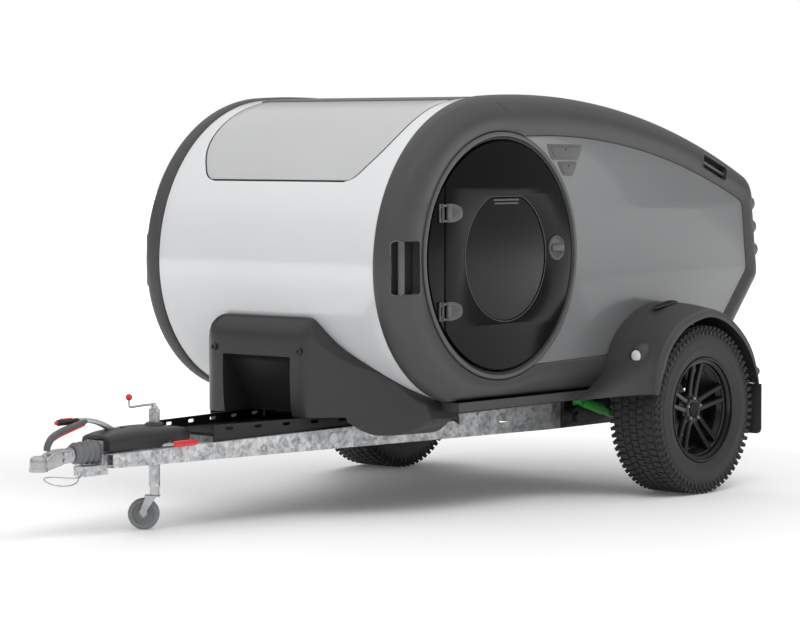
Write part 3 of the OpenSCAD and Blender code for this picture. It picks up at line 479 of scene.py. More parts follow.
def settle(piece, angle=None):
    depsgraph = bpy.context.evaluated_depsgraph_get()
    mesh = bpy.data.meshes.new_from_object(piece.evaluated_get(depsgraph), preserve_all_data_layers=True,
                                           depsgraph=depsgraph)
    piece.modifiers.clear()
    old = piece.data
    piece.data = mesh
    bpy.data.meshes.remove(old)
    if angle:
        mesh.polygons.foreach_set("use_smooth", [True] * len(mesh.polygons))
        mesh.set_sharp_from_angle(angle=math.radians(angle))
    return piece


def carve(piece, cutter, angle=40):
    modified(piece, "BOOLEAN", operation="DIFFERENCE", object=cutter, solver="EXACT")
    settle(piece, angle)
    bpy.data.objects.remove(cutter)
    return piece


def mirrored(piece, name):
    mesh = piece.data.copy()
    mesh.transform(Matrix.Scale(-1, 4, (0, 1, 0)))
    mesh.flip_normals()
    twin = bpy.data.objects.new(name, mesh)
    bpy.context.scene.collection.objects.link(twin)
    return twin


def ringBlock(name, size, finish, put, bevel=0.003):
    mesh = bpy.data.meshes.new(name)
    work = bmesh.new()
    bmesh.ops.create_cube(work, size=1, matrix=Matrix.Diagonal((*size, 1)))
    bmesh.ops.bevel(work, geom=work.edges[:], offset=bevel, segments=2, affect="EDGES", profile=0.5)
    work.to_mesh(mesh)
    work.free()
    mesh.transform(put)
    tidyMesh(mesh, True, 40)
    mesh.materials.append(look[finish])
    piece = bpy.data.objects.new(name, mesh)
    bpy.context.scene.collection.objects.link(piece)
    return piece


# Copies of a piece in a row or on a circle
def repeatTree(name, onCircle):
    tree = bpy.data.node_groups.new(name, "GeometryNodeTree")
    sides = [("Count", "NodeSocketInt"), ("Piece", "NodeSocketObject"), ("Material", "NodeSocketMaterial")]
    circleInputs = [("Radius", "NodeSocketFloat"), ("Phase", "NodeSocketFloat")]
    lineInputs = [("Start", "NodeSocketVector"), ("Step", "NodeSocketVector")]
    for label, kind in sides + (circleInputs if onCircle else lineInputs):
        tree.interface.new_socket(label, in_out="INPUT", socket_type=kind)
    tree.interface.new_socket("Geometry", in_out="OUTPUT", socket_type="NodeSocketGeometry")
    graph = Graph(tree)
    given = graph.add("NodeGroupInput").outputs
    if onCircle:
        points = graph.add("GeometryNodeMeshCircle", None,
                           {"Vertices": given["Count"], "Radius": given["Radius"]})
        spun = graph.add("ShaderNodeCombineXYZ", None, {"Z": given["Phase"]})
        base = graph.add("GeometryNodeTransform", None,
                         {"Geometry": points.outputs[0], "Rotation": spun.outputs[0]})
        where = graph.add("GeometryNodeInputPosition")
        facing = graph.add("FunctionNodeAlignRotationToVector", {"axis": "X"}, {"Vector": where.outputs[0]})
        turn = facing.outputs[0]
    else:
        base = graph.add("GeometryNodeMeshLine", {"mode": "OFFSET"},
                         {"Count": given["Count"], "Start Location": given["Start"],
                          "Offset": given["Step"]})
        turn = None
    model = graph.add("GeometryNodeObjectInfo", None, {"Object": given["Piece"]})
    copies = graph.add("GeometryNodeInstanceOnPoints", None,
                       {"Points": base.outputs[0], "Instance": model.outputs["Geometry"], "Rotation": turn})
    solid = graph.add("GeometryNodeRealizeInstances", None, {"Geometry": copies.outputs[0]})
    coated = graph.add("GeometryNodeSetMaterial", None,
                       {"Geometry": solid.outputs[0], "Material": given["Material"]})
    graph.add("NodeGroupOutput", None, {"Geometry": coated.outputs[0]})
    return tree


trees = {"circle": repeatTree("repeatOnCircle", True), "line": repeatTree("repeatOnLine", False)}


def repeated(name, kind, template, finish, put=None, **values):
    holder = bpy.data.objects.new(name, bpy.data.meshes.new(name))
    bpy.context.scene.collection.objects.link(holder)
    change = modified(holder, "NODES", node_group=trees[kind])
    values.update(Piece=template, Material=look[finish])
    for socket in trees[kind].interface.items_tree:
        if socket.in_out == "INPUT" and socket.name in values:
            change[socket.identifier] = values[socket.name]
    settle(holder, 40)
    if put is not None:
        holder.data.transform(put)
    bpy.data.objects.remove(template)
    return holder


print("helpers ready")

# The body outline in side view, measured from the axle
bodyLine = dict(noseReach=1.859, noseZ=1.075, noseR=0.72, chinR=0.6, roofR=4.15, roofJoin=3.5,
                tailReach=0.872, tailZ=0.96,
                tailLean=7.4, undercut=47.7, bellyZ=0.5, tailRound=0.11, heelRound=0.06, bandTop=0.172,
                bandShift=0.095,
                bandTail=0.118, panelRound=0.05, lowRound=0.04, panelHigh=0.66)
bodyWidth = dict(panel=0.624, shell=0.035, face=0.738, noseEnd=-1.02, hatchX=0.110, gap=0.006)
doorShape = dict(x=-1.139, z=1.113, frameR=0.536, frameLow=296.0, frameMid=244.0, frameTop=72.0,
                 leafR=0.492, chord=0.391)


def towards(degrees):
    return np.array([math.cos(math.radians(degrees)), math.sin(math.radians(degrees))])


def arcPoints(centre, r, a0, a1, n):
    return [centre + r * towards(a0 + (a1 - a0) * k / n) for k in range(n + 1)]


def angleOf(v):
    return math.degrees(math.atan2(v[1], v[0]))


line = bodyLine
noseC = np.array([line["noseR"] - line["noseReach"], line["noseZ"]])
chinC = np.array([line["chinR"] - line["noseReach"], line["noseZ"]])
lean, cut = math.radians(line["tailLean"]), math.radians(line["undercut"])
joinTurn = math.radians(line["roofJoin"])
roofC = noseC + (line["roofR"] - line["noseR"]) * np.array([math.sin(joinTurn), -math.cos(joinTurn)])
panelC = roofC + np.array([line["bandShift"], 0])
panelR = line["roofR"] - line["bandTop"]
tailP = np.array([line["tailReach"], line["tailZ"]])
tailUp, tailIn = np.array([-math.sin(lean), math.cos(lean)]), np.array([-math.cos(lean), -math.sin(lean)])
cutDown, cutIn = np.array([-math.cos(cut), -math.sin(cut)]), np.array([-math.sin(cut), math.cos(cut)])
doorC = np.array([doorShape["x"], doorShape["z"]])


def cross2(a, b):
    return a[0] * b[1] - a[1] * b[0]


def meet(p, u, q, v):
    return p + u * cross2(q - p, v) / cross2(u, v)


def cornerOn(centre, reach, inset, r):
    p = tailP + (inset + r) * tailIn
    w = p - centre
    b = w @ tailUp
    return p + tailUp * (-b + math.sqrt(b * b - (w @ w - (reach - r) ** 2)))


def outerEdge(k):
    low = line["bellyZ"]
    start = 180 + math.degrees(math.asin((line["noseZ"] - low) / line["chinR"]))
    chin = arcPoints(chinC, line["chinR"], start, 180, 8 * k)
    ring = doorC + doorShape["frameR"] * towards(doorShape["frameLow"])
    belly = [np.array([ring[0] + (chin[0][0] - ring[0]) * i / (4 * k), low]) for i in range(4 * k)]
    r = line["tailRound"]
    top = cornerOn(roofC, line["roofR"], 0, r)
    turn = angleOf(top - roofC)
    low1 = meet(tailP + line["heelRound"] * tailIn, tailUp, tailP + line["heelRound"] * cutIn, cutDown)
    low2 = meet(tailP + line["heelRound"] * cutIn, cutDown, np.array([0, low + line["heelRound"]]),
                np.array([1.0, 0]))
    return np.asarray(belly + chin + arcPoints(noseC, line["noseR"], 180, 90 + line["roofJoin"], 7 * k)
                      + arcPoints(roofC, line["roofR"], 90 + line["roofJoin"], turn, 8 * k)
                      + arcPoints(top, r, turn, line["tailLean"], 3 * k)
                      + arcPoints(low1, line["heelRound"], line["tailLean"], line["undercut"] - 90, 3 * k)
                      + arcPoints(low2, line["heelRound"], line["undercut"] - 90, -90, 3 * k))


def innerEdge(k):
    r = doorShape["frameR"]
    ring = arcPoints(doorC, r, doorShape["frameLow"], doorShape["frameMid"], 4 * k)[:-1]
    ring += arcPoints(doorC, r, doorShape["frameMid"], 180,
                      8 * k) + arcPoints(doorC, r, 180, doorShape["frameTop"], 7 * k)
    return np.asarray(ring + panelEdge(k))


def panelEdge(k):
    x = doorC[0] + doorShape["frameR"] * math.cos(math.radians(doorShape["frameTop"]))
    a0 = 90 + math.degrees(math.asin((panelC[0] - x) / panelR))
    c = cornerOn(panelC, panelR, line["bandTail"], line["panelRound"])
    low = meet(tailP + (line["bandTail"] + line["lowRound"]) * tailIn, tailUp,
               tailP + (line["bandTail"] + line["lowRound"]) * cutIn, cutDown)
    turn = angleOf(c - panelC)
    end = doorC + doorShape["frameR"] * towards(doorShape["frameLow"])
    p = meet(tailP + line["bandTail"] * cutIn, cutDown, np.array([0, line["panelHigh"]]),
             np.array([1.0, 0]))
    return (arcPoints(panelC, panelR, a0, turn, 8 * k)
            + arcPoints(c, line["panelRound"], turn, line["tailLean"], 3 * k)
            + arcPoints(low, line["lowRound"], line["tailLean"], line["undercut"] - 90, 3 * k)
            + [p + i / (3 * k) * (end - p) * 0.985 for i in range(3 * k + 1)])


# The shell's own line from chin to heel, with the distance along it and its outward normals
shellLine = outerEdge(40)[160:]
shellLine = shellLine[np.r_[True, np.linalg.norm(np.diff(shellLine, axis=0), axis=1) > 1e-6]]
shellRun = np.r_[0, np.cumsum(np.linalg.norm(np.diff(shellLine, axis=0), axis=1))]
shellOut = np.gradient(shellLine, shellRun, axis=0)[:, ::-1] * (-1, 1)
shellOut /= np.linalg.norm(shellOut, axis=1)[:, None]
topRun = shellRun[np.argmax(shellLine[:, 1])]


def shellPoint(s, inset=0.0):
    x, z = (np.interp(s, shellRun, shellLine[:, i]) for i in (0, 1))
    u, w = (np.interp(s, shellRun, shellOut[:, i]) for i in (0, 1))
    return np.array([axleX + x - u * inset, z - w * inset])


def runAtX(x):
    upper = shellLine[:, 1] > 1.2
    return float(np.interp(x, shellLine[upper, 0], shellRun[upper]))


def runAtZ(z, front=True):
    part = (shellRun < topRun) if front else (shellRun > topRun)
    zs, ss = shellLine[part, 1], shellRun[part]
    return float(np.interp(z, zs, ss) if front else np.interp(-z, -zs, ss))


def spaced(a, b, step):
    return list(np.linspace(a, b, max(2, int(math.ceil(abs(b - a) / step)) + 1)))


def shellPatch(name, rows, columnsAt, finish, inset=0.0, thick=0.035, skip=None, bevel=0.0025):
    verts, faces = [], []
    for s in rows:
        x, z = shellPoint(s, inset)
        verts += [(x, y, z) for y in columnsAt(s)]
    n = len(columnsAt(rows[0]))
    for i in range(len(rows) - 1):
        for j in range(n - 1):
            if skip and skip(i, j):
                continue
            a = i * n + j
            faces.append((a, a + n, a + n + 1, a + 1))
    piece = meshPiece(name, verts, faces, finish, closed=False)
    modified(piece, "SOLIDIFY", thickness=thick, offset=-1, use_even_offset=True)
    if bevel:
        modified(piece, "BEVEL", width=bevel, segments=3, limit_method="ANGLE",
                 angle_limit=math.radians(60))
    return settle(piece, 40)


# Nose, sky window, roof, hatch and tail, one patch of the shell each
skyShape = dict(low=1.434, lowHalf=0.422, half=0.552, shoulder=1.604, rearX=-1.10, gap=0.009, capX=-1.262,
                lowRound=0.055, highRound=0.11)
skyEdge = roundCorners([(0.0, skyShape["low"]), (skyShape["lowHalf"], skyShape["low"]),
                        (skyShape["half"], skyShape["shoulder"]), (skyShape["half"], 2.0), (0, 2.0)],
                       [0, skyShape["lowRound"], skyShape["highRound"], 0, 0], 10)
skyEdge = np.asarray([p for p in skyEdge if p[0] > 0.05 and p[1] < 1.99])
skyEdge = skyEdge[np.argsort(skyEdge[:, 1], kind="stable")]
skyLowRun, skyHighRun = runAtZ(skyShape["low"]), runAtX(skyShape["rearX"])


def skyHalf(s):
    if s >= topRun - 0.3:
        return skyShape["half"]
    z = max(float(np.interp(s, shellRun, shellLine[:, 1])), skyShape["low"] + 0.0004)
    return float(np.interp(z, skyEdge[:, 1], skyEdge[:, 0]))


noseRows = spaced(0, skyLowRun, 0.035) + spaced(skyLowRun, skyLowRun + 0.22, 0.009)[1:]
noseRows += spaced(skyLowRun + 0.22, skyHighRun, 0.03)[1:]
noseEndRun = runAtX(bodyWidth["noseEnd"] - 0.0003)
noseRows += spaced(skyHighRun, noseEndRun, 0.03)[1:]
lowRow, highRow = noseRows.index(skyLowRun), noseRows.index(skyHighRun)
panelHalf = bodyWidth["panel"]


def noseColumns(s):
    w, h = skyHalf(s), panelHalf - 0.0005
    return list(-np.linspace(h, w, 5)) + list(np.linspace(-w, w, 15))[1:-1] + list(np.linspace(w, h, 5))


noseShell = shellPatch("nose_panel", noseRows, noseColumns, "noseWhite", thick=bodyWidth["shell"],
                       skip=lambda i, j: lowRow <= i < highRow and 4 <= j < 18)
assign(noseShell, "trailer", "white_paint", "nose_shell")
glassRows = spaced(skyLowRun + skyShape["gap"], skyLowRun + 0.22, 0.009)
glassRows += spaced(skyLowRun + 0.22, skyHighRun - skyShape["gap"], 0.03)[1:]
skyPane = shellPatch("sky_window", glassRows,
                     lambda s: list(np.linspace(-1, 1, 19) * (skyHalf(s) - skyShape["gap"])), "skyPane",
                     inset=0.0005, thick=0.0125, bevel=0.002)
assign(skyPane, "trailer", "dark_glass", "skylight")
gasketRows = spaced(skyLowRun - 0.02, skyHighRun + 0.02, 0.03)
gasket = shellPatch("sky_window_seal", gasketRows,
                    lambda s: list(np.linspace(-1, 1, 19) * (skyHalf(max(s, skyLowRun)) + 0.02)),
                    "gapBlack", inset=0.0035, thick=0.02, bevel=0)
assign(gasket, "trailer", "rubber")

capRows = spaced(runAtX(skyShape["capX"]), noseEndRun, 0.02)
capPiece = shellPatch("roof_front_trim", capRows,
                      lambda s: list(np.linspace(-1, 1, 15) * (skyShape["half"] + 0.004)), "roofDark",
                      inset=-0.0016, thick=0.004, bevel=0.001)
assign(capPiece, "trailer", "dark_paint")

wide = list(np.linspace(-1, 1, 13) * (panelHalf - 0.0005))
hatchRun, tailRun = runAtX(bodyWidth["hatchX"]), runAtZ(line["tailZ"], False)
roofPiece = shellPatch("roof_skin", spaced(runAtX(bodyWidth["noseEnd"] + 0.0003), hatchRun, 0.05),
                       lambda s: wide, "roofDark")
hatchWide = list(np.linspace(-1, 1, 13) * (panelHalf - bodyWidth["gap"]))
hatchRows = spaced(hatchRun + bodyWidth["gap"], runAtX(0.68),
                   0.05) + spaced(runAtX(0.68), tailRun, 0.02)[1:]
hatchSkin = shellPatch("hatch_skin", hatchRows, lambda s: hatchWide, "roofDark", bevel=0.004)
tailRows = spaced(tailRun + bodyWidth["gap"], tailRun + 0.15,
                  0.015) + spaced(tailRun + 0.15, shellRun[-1], 0.03)[1:]
tailSkin = shellPatch("tail_skin", tailRows, lambda s: wide, "roofDark")
assign(tailSkin, "trailer", "dark_paint", "tail_panel")

# Raised field pressed into the hatch, so that its broad face isn't bare
hatchField = dict(low=0.05, high=0.34, half=0.40, rise=0.006)
pressRows = spaced(tailRun - hatchField["high"], tailRun - hatchField["low"], 0.02)
press = shellPatch("hatch_press", pressRows, lambda s: list(np.linspace(-1, 1, 9) * hatchField["half"]),
                   "roofDark", inset=-hatchField["rise"], thick=hatchField["rise"] * 2, bevel=0.005)
hatchSkin = join("hatch_skin", [hatchSkin, press])
assign(hatchSkin, "hatch_lid", "dark_paint", "hatch")


def hatchHinges():
    knuckle = dict(y=0.430, width=0.060, r=0.009, rise=0.011)
    roofParts, hatchParts = [], []
    x, z = shellPoint(hatchRun + 0.003)
    z += knuckle["rise"]
    for side in (-1, 1):
        for inner, parts in ((0, roofParts), (1, hatchParts)):
            a = side * (knuckle["y"] + (0 if inner else 0.002))
            b = a + side * knuckle["width"] * (1 if not inner else -1)
            r = knuckle["r"]
            ends = sorted((a, b))
            parts.append(turned("knuckle", [(0, ends[0]), (r - 0.001, ends[0]), (r, ends[0] + 0.001),
                                            (r, ends[1] - 0.001), (r - 0.001, ends[1]), (0, ends[1])],
                                            "fittingGrey", (x, 0, z), segments=28))
            reach = 0.052 if inner else -0.052
            leaf = ringBlock("leaf", (abs(reach), knuckle["width"] - 0.004, 0.007), "fittingGrey",
                             flatPut(x + reach / 2 + (0.006 if inner else -0.006), (a + b) / 2, 0), 0.002)
            slope = math.asin((x - axleX - roofC[0]) / line["roofR"])
            turnedBy = tilted((x, 0, z), slope) @ flatPut(-x, 0, -0.009)
            leaf.data.transform(turnedBy)
            parts.append(leaf)
            for k in (-1, 1):
                head = turned("screw", [(0, 0), (0.0055, 0), (0.0055, 0.0015), (0.004, 0.003), (0, 0.0032)],
                              "plainSteel", (x + reach * 0.6, (a + b) / 2 + k * 0.017, -0.0055), "Z", 20)
                head.data.transform(turnedBy)
                parts.append(head)
    return join("roof_hinges", roofParts), join("hatch_hinges", hatchParts)


roofHinges, hatchKnuckles = hatchHinges()
assign(roofPiece, "trailer", "dark_paint", "roof_panel")
assign(roofHinges, "trailer", "dark_paint")
assign(hatchKnuckles, "hatch_lid", "dark_paint")


def hatchLatch():
    s = tailRun - 0.09
    x, z = shellPoint(s, -0.008)
    base = softBox(-0.07, -0.03, 0.07, 0.03, 0.02)
    put = tilted((x, 0, z), -lean) @ rearwards()
    cup = plate("cup", [base], 0.012, "gapBlack", put, 0.004)
    grip = plate("grip", [softBox(-0.055, -0.010, 0.055, 0.014, 0.009)], 0.012, "fittingGrey",
                 put @ Matrix.Translation((0, 0, 0.009)), 0.004)
    return join("hatch_latch", [cup, grip])


assign(hatchLatch(), "hatch_lid", "black_plastic")
print("shell ready")

# Side mouldings: a band swept round the body, with the grab recesses cut in
mouldingSection = [(0, 0.6245), (-0.025, 0.630), (-0.046, 0.641), (-0.052, 0.656), (-0.044, 0.676),
                   (-0.012, 0.696), (0.05, 0.712), (0.14, 0.726), (0.26, 0.738),
                   (0.38, 0.7465), (0.5, 0.7505), (0.62, 0.7515), (0.74, 0.750), (0.85, 0.7465),
                   (0.94, 0.7425)]
sectionPoints = list(curveThrough(mouldingSection, 40))
sectionPoints += [(0.975, 0.7405), (0.992, 0.7375), (0.997, 0.733), (0.997, 0.698), (0.62, 0.698),
                  (0.25, 0.698), (0.235, 0.66), (0.22, 0.626), (0.1, 0.6245)]
grabShape = dict(x0=-1.846, x1=-1.696, low=0.965, high=1.193, floor=0.704, rearX=0.49, rearHalf=0.105,
                 rearLow=-0.108, rearHigh=-0.038, rearOut=0.80)


def sweptMoulding():
    a, b = outerEdge(9), innerEdge(9)
    moved = [np.linalg.norm(np.diff(edge, axis=0), axis=1) > 1e-6 for edge in (a, b)]
    keep = np.r_[True, moved[0] | moved[1]]
    a, b = a[keep], b[keep]
    loops = [[(axleX + p[0] + (q[0] - p[0]) * s, -y, p[1] + (q[1] - p[1]) * s) for s, y in sectionPoints]
             for p, q in zip(a, b)]
    return loft("left_band", loops, "mouldingGrey", caps=False, closedPath=True, angle=42)


def onSurface(tree, x, z):
    spot = tree.ray_cast(Vector((x, -2, z)), Vector((0, 1, 0)))[0]
    return np.array(spot)


leftBand = sweptMoulding()
bandTree = BVHTree.FromObject(leftBand, bpy.context.evaluated_depsgraph_get())
g = grabShape
frontLoop = softBox(g["x0"], g["low"], g["x1"], g["high"], 0.022, 6)
rimPath = np.asarray([onSurface(bandTree, axleX + u, v) for u, v in frontLoop])
cutter = plate("cutter", [frontLoop], 0.12, "coverBlack", sidePut(g["floor"] + 0.12, 0.12, (axleX, 0)),
               0.004)
rearCentre = np.array([axleX + g["rearX"], shellPoint(runAtX(g["rearX"]))[1]])
rearSlope = math.asin((g["rearX"] - roofC[0]) / line["roofR"])
rearPut = tilted((rearCentre[0], 0, rearCentre[1]), rearSlope)
rearMiddle = (g["rearLow"] + g["rearHigh"]) / 2
rearTall = (g["rearHigh"] - g["rearLow"]) / 2
rearLoop = softBox(-g["rearHalf"], -rearTall, g["rearHalf"], rearTall, 0.018, 6)
rearSide = rearPut @ flatPut(0, 0, rearMiddle)
rearDepth = g["rearOut"] - g["floor"]
rearCutter = plate("rearCutter", [rearLoop], rearDepth, "coverBlack",
                   rearSide @ sidePut(g["rearOut"], rearDepth), 0.004)
rearRimPath = []
for u, v in rearLoop:
    spot = rearPut @ Vector((u, 0, v + rearMiddle))
    rearRimPath.append(onSurface(bandTree, spot.x, spot.z))
carve(leftBand, cutter, 42)
carve(leftBand, rearCutter, 42)
grabBar = ringBlock("bar", (0.034, 0.012, g["high"] - g["low"] - 0.001), "trimSatin",
                    flatPut(axleX - 1.803, -0.732, (g["high"] + g["low"]) / 2), 0.004)
barRun = np.linspace(-g["rearHalf"] + 0.001, g["rearHalf"] - 0.001, 7)
rearBar = rod("rearBar", [rearPut @ Vector((u, -0.728, rearMiddle)) for u in barRun], 0.008, "trimSatin",
              20)
# Painted shade: thin black plates on the floors of both grab recesses, darker than the moulding there
pocket = plate("pocket", [[(axleX + u, v) for u, v in frontLoop]], 0.003, "gapBlack",
               sidePut(g["floor"] + 0.0025, 0.003), 0.0008)
rearPocket = plate("rearPocket", [rearLoop], 0.003, "gapBlack",
                   rearSide @ sidePut(g["floor"] + 0.0025, 0.003), 0.0008)
rearRim = loft("rearRim", tubeLoops(np.vstack([rearRimPath, rearRimPath[:1]]), 0.003, 10, (0, 1, 0)),
               "trimSatin", angle=60)
rim = loft("rim", tubeLoops(np.vstack([rimPath, rimPath[:1]]), 0.0034, 10, (0, 1, 0)), "trimSatin",
           angle=60)
grabs = join("left_grab_bars", [grabBar, rearBar, rim, pocket, rearPocket, rearRim])
assign(mirrored(grabs, "right_grab_bars"), "trailer", "black_plastic")
assign(grabs, "trailer", "black_plastic", "grab_bars")
rightBand = mirrored(leftBand, "right_band")
assign(leftBand, "trailer", "grey_plastic", "left_moulding")
assign(rightBand, "trailer", "grey_plastic", "right_moulding")
print("mouldings ready")


# Side panels and their small vent covers
def bothSides(piece, body, slotName, leftNodes=(), rightNodes=()):
    twin = mirrored(piece, piece.name.replace("left_", "right_"))
    assign(piece, body if isinstance(body, str) else body[0], slotName, *leftNodes)
    assign(twin, body if isinstance(body, str) else body[1], slotName, *rightNodes)


panelLoop = panelEdge(12) + arcPoints(doorC, doorShape["frameR"] + 0.001, doorShape["frameLow"] - 360,
                                      doorShape["frameTop"], 60)
sidePanel = plate("left_side_skin", [[(p[0] + axleX, p[1]) for p in panelLoop]], 0.039, "sideGrey",
                  sidePut(bodyWidth["face"] - 0.0005, 0.039), 0.002)
bothSides(sidePanel, "trailer", "grey_paint", ["left_side_panel"], ["right_side_panel"])
covers = []
for corners, spot in (([(-0.822, 1.594), (-0.563, 1.590), (-0.592, 1.523), (-0.786, 1.525)], (-0.69, 1.57)),
                      ([(-0.747, 1.517), (-0.598, 1.515), (-0.632, 1.453), (-0.704, 1.455)],
                       (-0.67, 1.497))):
    shape = roundCorners([(x + axleX, z) for x, z in corners], 0.016)
    middle = shape.mean(axis=0)
    covers.append(plate("cover", [shape], 0.006, "fittingGrey", sidePut(0.741, 0.006), 0.0022))
    covers.append(plate("raised", [middle + (shape - middle) * (0.84, 0.72)], 0.005, "trimSatin",
                        sidePut(0.7435, 0.005), 0.002))
    covers.append(turned("pin", [(0, 0.742), (0.004, 0.742), (0.004, 0.7442), (0, 0.7446)], "gapBlack",
                         (spot[0] + axleX, 0, spot[1]), side=-1, segments=16))
bothSides(join("left_vent_covers", covers), "trailer", "black_plastic")

# Doors: ring, leaf, glass, hinges and latch
doorX, doorZ = axleX + doorShape["x"], doorShape["z"]
windowShape = dict(x=0.026, z=-0.004, r=0.281, chordHalf=0.105)
hingeShape = dict(heights=(0.190, -0.225), pinY=0.764, half=0.026, tall=0.040, reach=0.104)
latchShape = dict(x=0.379, z=0.024)


def windowLoop(inset):
    r = windowShape["r"] - inset
    a = math.degrees(math.acos(windowShape["chordHalf"] / windowShape["r"]))
    centre = np.array([windowShape["x"], windowShape["z"]])
    points = [centre + q for q in arcPoints(np.zeros(2), r, 180 - a, 360 + a, 96)]
    return roundCorners(points, 0.0001, 1)


def leafLoop(r, chord):
    a = math.degrees(math.acos(chord / r))
    return arcPoints(np.zeros(2), r, -180 + a, 180 - a, 120)


ringProfile = [(0.5345, 0.699), (0.5345, 0.7385), (0.533, 0.744), (0.528, 0.7475), (0.521, 0.7482),
               (0.516, 0.7465), (0.5135, 0.742), (0.5125, 0.728), (0.5125, 0.699)]
frameRing = turned("left_door_ring", ringProfile, "trimSatin", (doorX, 0, doorZ), segments=160, side=-1)
channel = turned("channel", [(0.514, 0.699), (0.514, 0.735), (0.509, 0.7385), (0.505, 0.7365),
                             (0.5035, 0.727), (0.499, 0.7225), (0.499, 0.699)], "coverBlack",
                             (doorX, 0, doorZ), segments=160, side=-1)
fillerShape = dict(chord=0.393, r=0.4985)
fillerTurn = math.degrees(math.acos(fillerShape["chord"] / fillerShape["r"]))
segment = arcPoints(np.zeros(2), fillerShape["r"], 180 - fillerTurn, 180 + fillerTurn, 40)
filler = plate("filler", [segment], 0.042, "doorGloss", sidePut(0.7415, 0.042, (doorX, doorZ)), 0.0025)
inside = turned("rebate", [(0.514, 0.699), (0.499, 0.699), (0.488, 0.699), (0.488, 0.7035), (0.499, 0.7035),
                           (0.514, 0.7035)], "gapBlack", (doorX, 0, doorZ), segments=120, side=-1)
bothSides(join("left_door_surround", [frameRing, channel, filler, inside]), "trailer", "gloss_black",
          ["left_door_frame"], ["right_door_frame"])

leaf = plate("left_door_skin", [leafLoop(doorShape["leafR"], doorShape["chord"] - 0.006),
                                windowLoop(-0.001)[::-1]], 0.036, "doorGloss",
                                sidePut(0.7425, 0.036, (doorX, doorZ)), 0.003)
bothSides(leaf, ("left_door_leaf", "right_door_leaf"), "gloss_black", ["left_door"], ["right_door"])
pane = plate("pane", [windowLoop(0.006)], 0.007, "paneDark", sidePut(0.7405, 0.007, (doorX, doorZ)), 0.002)
innerPane = plate("innerPane", [windowLoop(0.0005)], 0.004, "gapBlack",
                  sidePut(0.7325, 0.004, (doorX, doorZ)), 0.001)
beadPath = [(doorX + u, -0.7425, doorZ + v) for u, v in windowLoop(0.0005)]
bead = loft("bead", tubeLoops(beadPath + beadPath[:1], 0.0018, 8, (0, 1, 0)), "trimSatin", angle=60)
chordZ = windowShape["z"] + math.sqrt(windowShape["r"] ** 2 - windowShape["chordHalf"] ** 2)
vents = []
for k, (drop, half) in enumerate(((0.016, 0.088), (0.031, 0.082))):
    slot = softBox(-half, -0.0035, half, 0.0035, 0.003)
    vents.append(plate("vent", [slot + (windowShape["x"] + 0.002, chordZ - drop)], 0.004, "trimSatin",
                       sidePut(0.7425, 0.004, (doorX, doorZ)), 0.0012))
bothSides(join("left_window_pane", [pane, innerPane, bead] + vents), ("left_door_leaf", "right_door_leaf"),
          "dark_glass", ["left_door_window"], ["right_door_window"])


def doorHinge(z):
    x, y = doorX - doorShape["chord"], hingeShape["pinY"]
    tall, reach, half = hingeShape["tall"], hingeShape["reach"], hingeShape["half"]
    strap = roundCorners([(0.004, -tall), (0.05, -tall), (reach, -tall * 0.55), (reach, tall * 0.55),
                          (0.05, tall), (0.004, tall)], [0.004, 0.03, 0.03, 0.03, 0.03, 0.004])
    moving = [plate("strap", [strap], 0.016, "fittingGrey", sidePut(0.7575, 0.016, (x, z)), 0.005),
              plate("dish", [strap * (0.62, 0.6) + (0.024, 0)], 0.004, "trimSatin",
                    sidePut(0.7595, 0.004, (x, z)), 0.0015)]
    rib = ringBlock("rib", (0.052, 0.003, 0.0035), "fittingGrey", flatPut(0, 0, 0), 0.001)
    moving.append(repeated("ribs", "line", rib, "fittingGrey", Matrix.Translation((x + 0.055, -0.7605, z)),
                           Count=4, Start=(0, 0, -0.0165), Step=(0, 0, 0.011)))
    knuckle = [(0, -half + 0.0005), (0.0088, -half + 0.0005), (0.0098, -half + 0.0015),
               (0.0098, half - 0.0015), (0.0088, half - 0.0005), (0, half - 0.0005)]
    moving.append(turned("knuckle", knuckle, "fittingGrey", (x, -y, z), "Z", 32))
    moving.append(ringBlock("web", (0.024, 0.014, 2 * half - 0.001), "fittingGrey",
                            flatPut(x + 0.015, -0.755, z), 0.004))
    fixed = []
    for k in (-1, 1):
        fixed.append(turned("eye", [(0, k * (half + 0.001)), (0.0098, k * (half + 0.001)),
                                    (0.0098, k * (half + 0.010)), (0.008, k * (half + 0.0115)),
                                    (0, k * (half + 0.0115))], "fittingGrey", (x, -y, z), "Z", 32))
        fixed.append(ringBlock("ear", (0.036, 0.017, 0.010), "fittingGrey",
                               flatPut(x - 0.018, -0.757, z + k * (half + 0.006)), 0.003))
    outer = softBox(-0.044, -tall, -0.013, tall, 0.006)
    hole = softBox(-0.037, -tall * 0.55, -0.027, tall * 0.55, 0.004)
    fixed.append(plate("bracket", [outer, hole[::-1]], 0.009, "fittingGrey", sidePut(0.753, 0.009, (x, z)),
                       0.003))
    return moving, fixed


movingParts, fixedParts = [], []
for height in hingeShape["heights"]:
    a, b = doorHinge(doorZ + height)
    movingParts += a
    fixedParts += b
lx, lz = doorX + latchShape["x"], doorZ + latchShape["z"]
latchRing = [(0.030, 0.742), (0.054, 0.742), (0.0545, 0.747), (0.052, 0.7515), (0.048, 0.7525),
             (0.0445, 0.750), (0.042, 0.7445), (0.030, 0.7435)]
movingParts.append(turned("latchRing", latchRing, "fittingGrey", (lx, 0, lz), side=-1, segments=64))
movingParts.append(turned("latchBowl", [(0, 0.7425), (0.043, 0.7425), (0.043, 0.7465), (0.036, 0.7445),
                                        (0, 0.7435)], "trimSatin", (lx, 0, lz), side=-1, segments=48))
grip = roundCorners([(-0.040, -0.013), (0.036, -0.017), (0.042, 0.0), (0.036, 0.017), (-0.040, 0.013)],
                    0.010)
movingParts.append(plate("latchGrip", [grip], 0.018, "fittingGrey", sidePut(0.760, 0.018, (lx, lz)), 0.006))
bothSides(join("left_door_fittings", movingParts), ("left_door_leaf", "right_door_leaf"), "gloss_black")
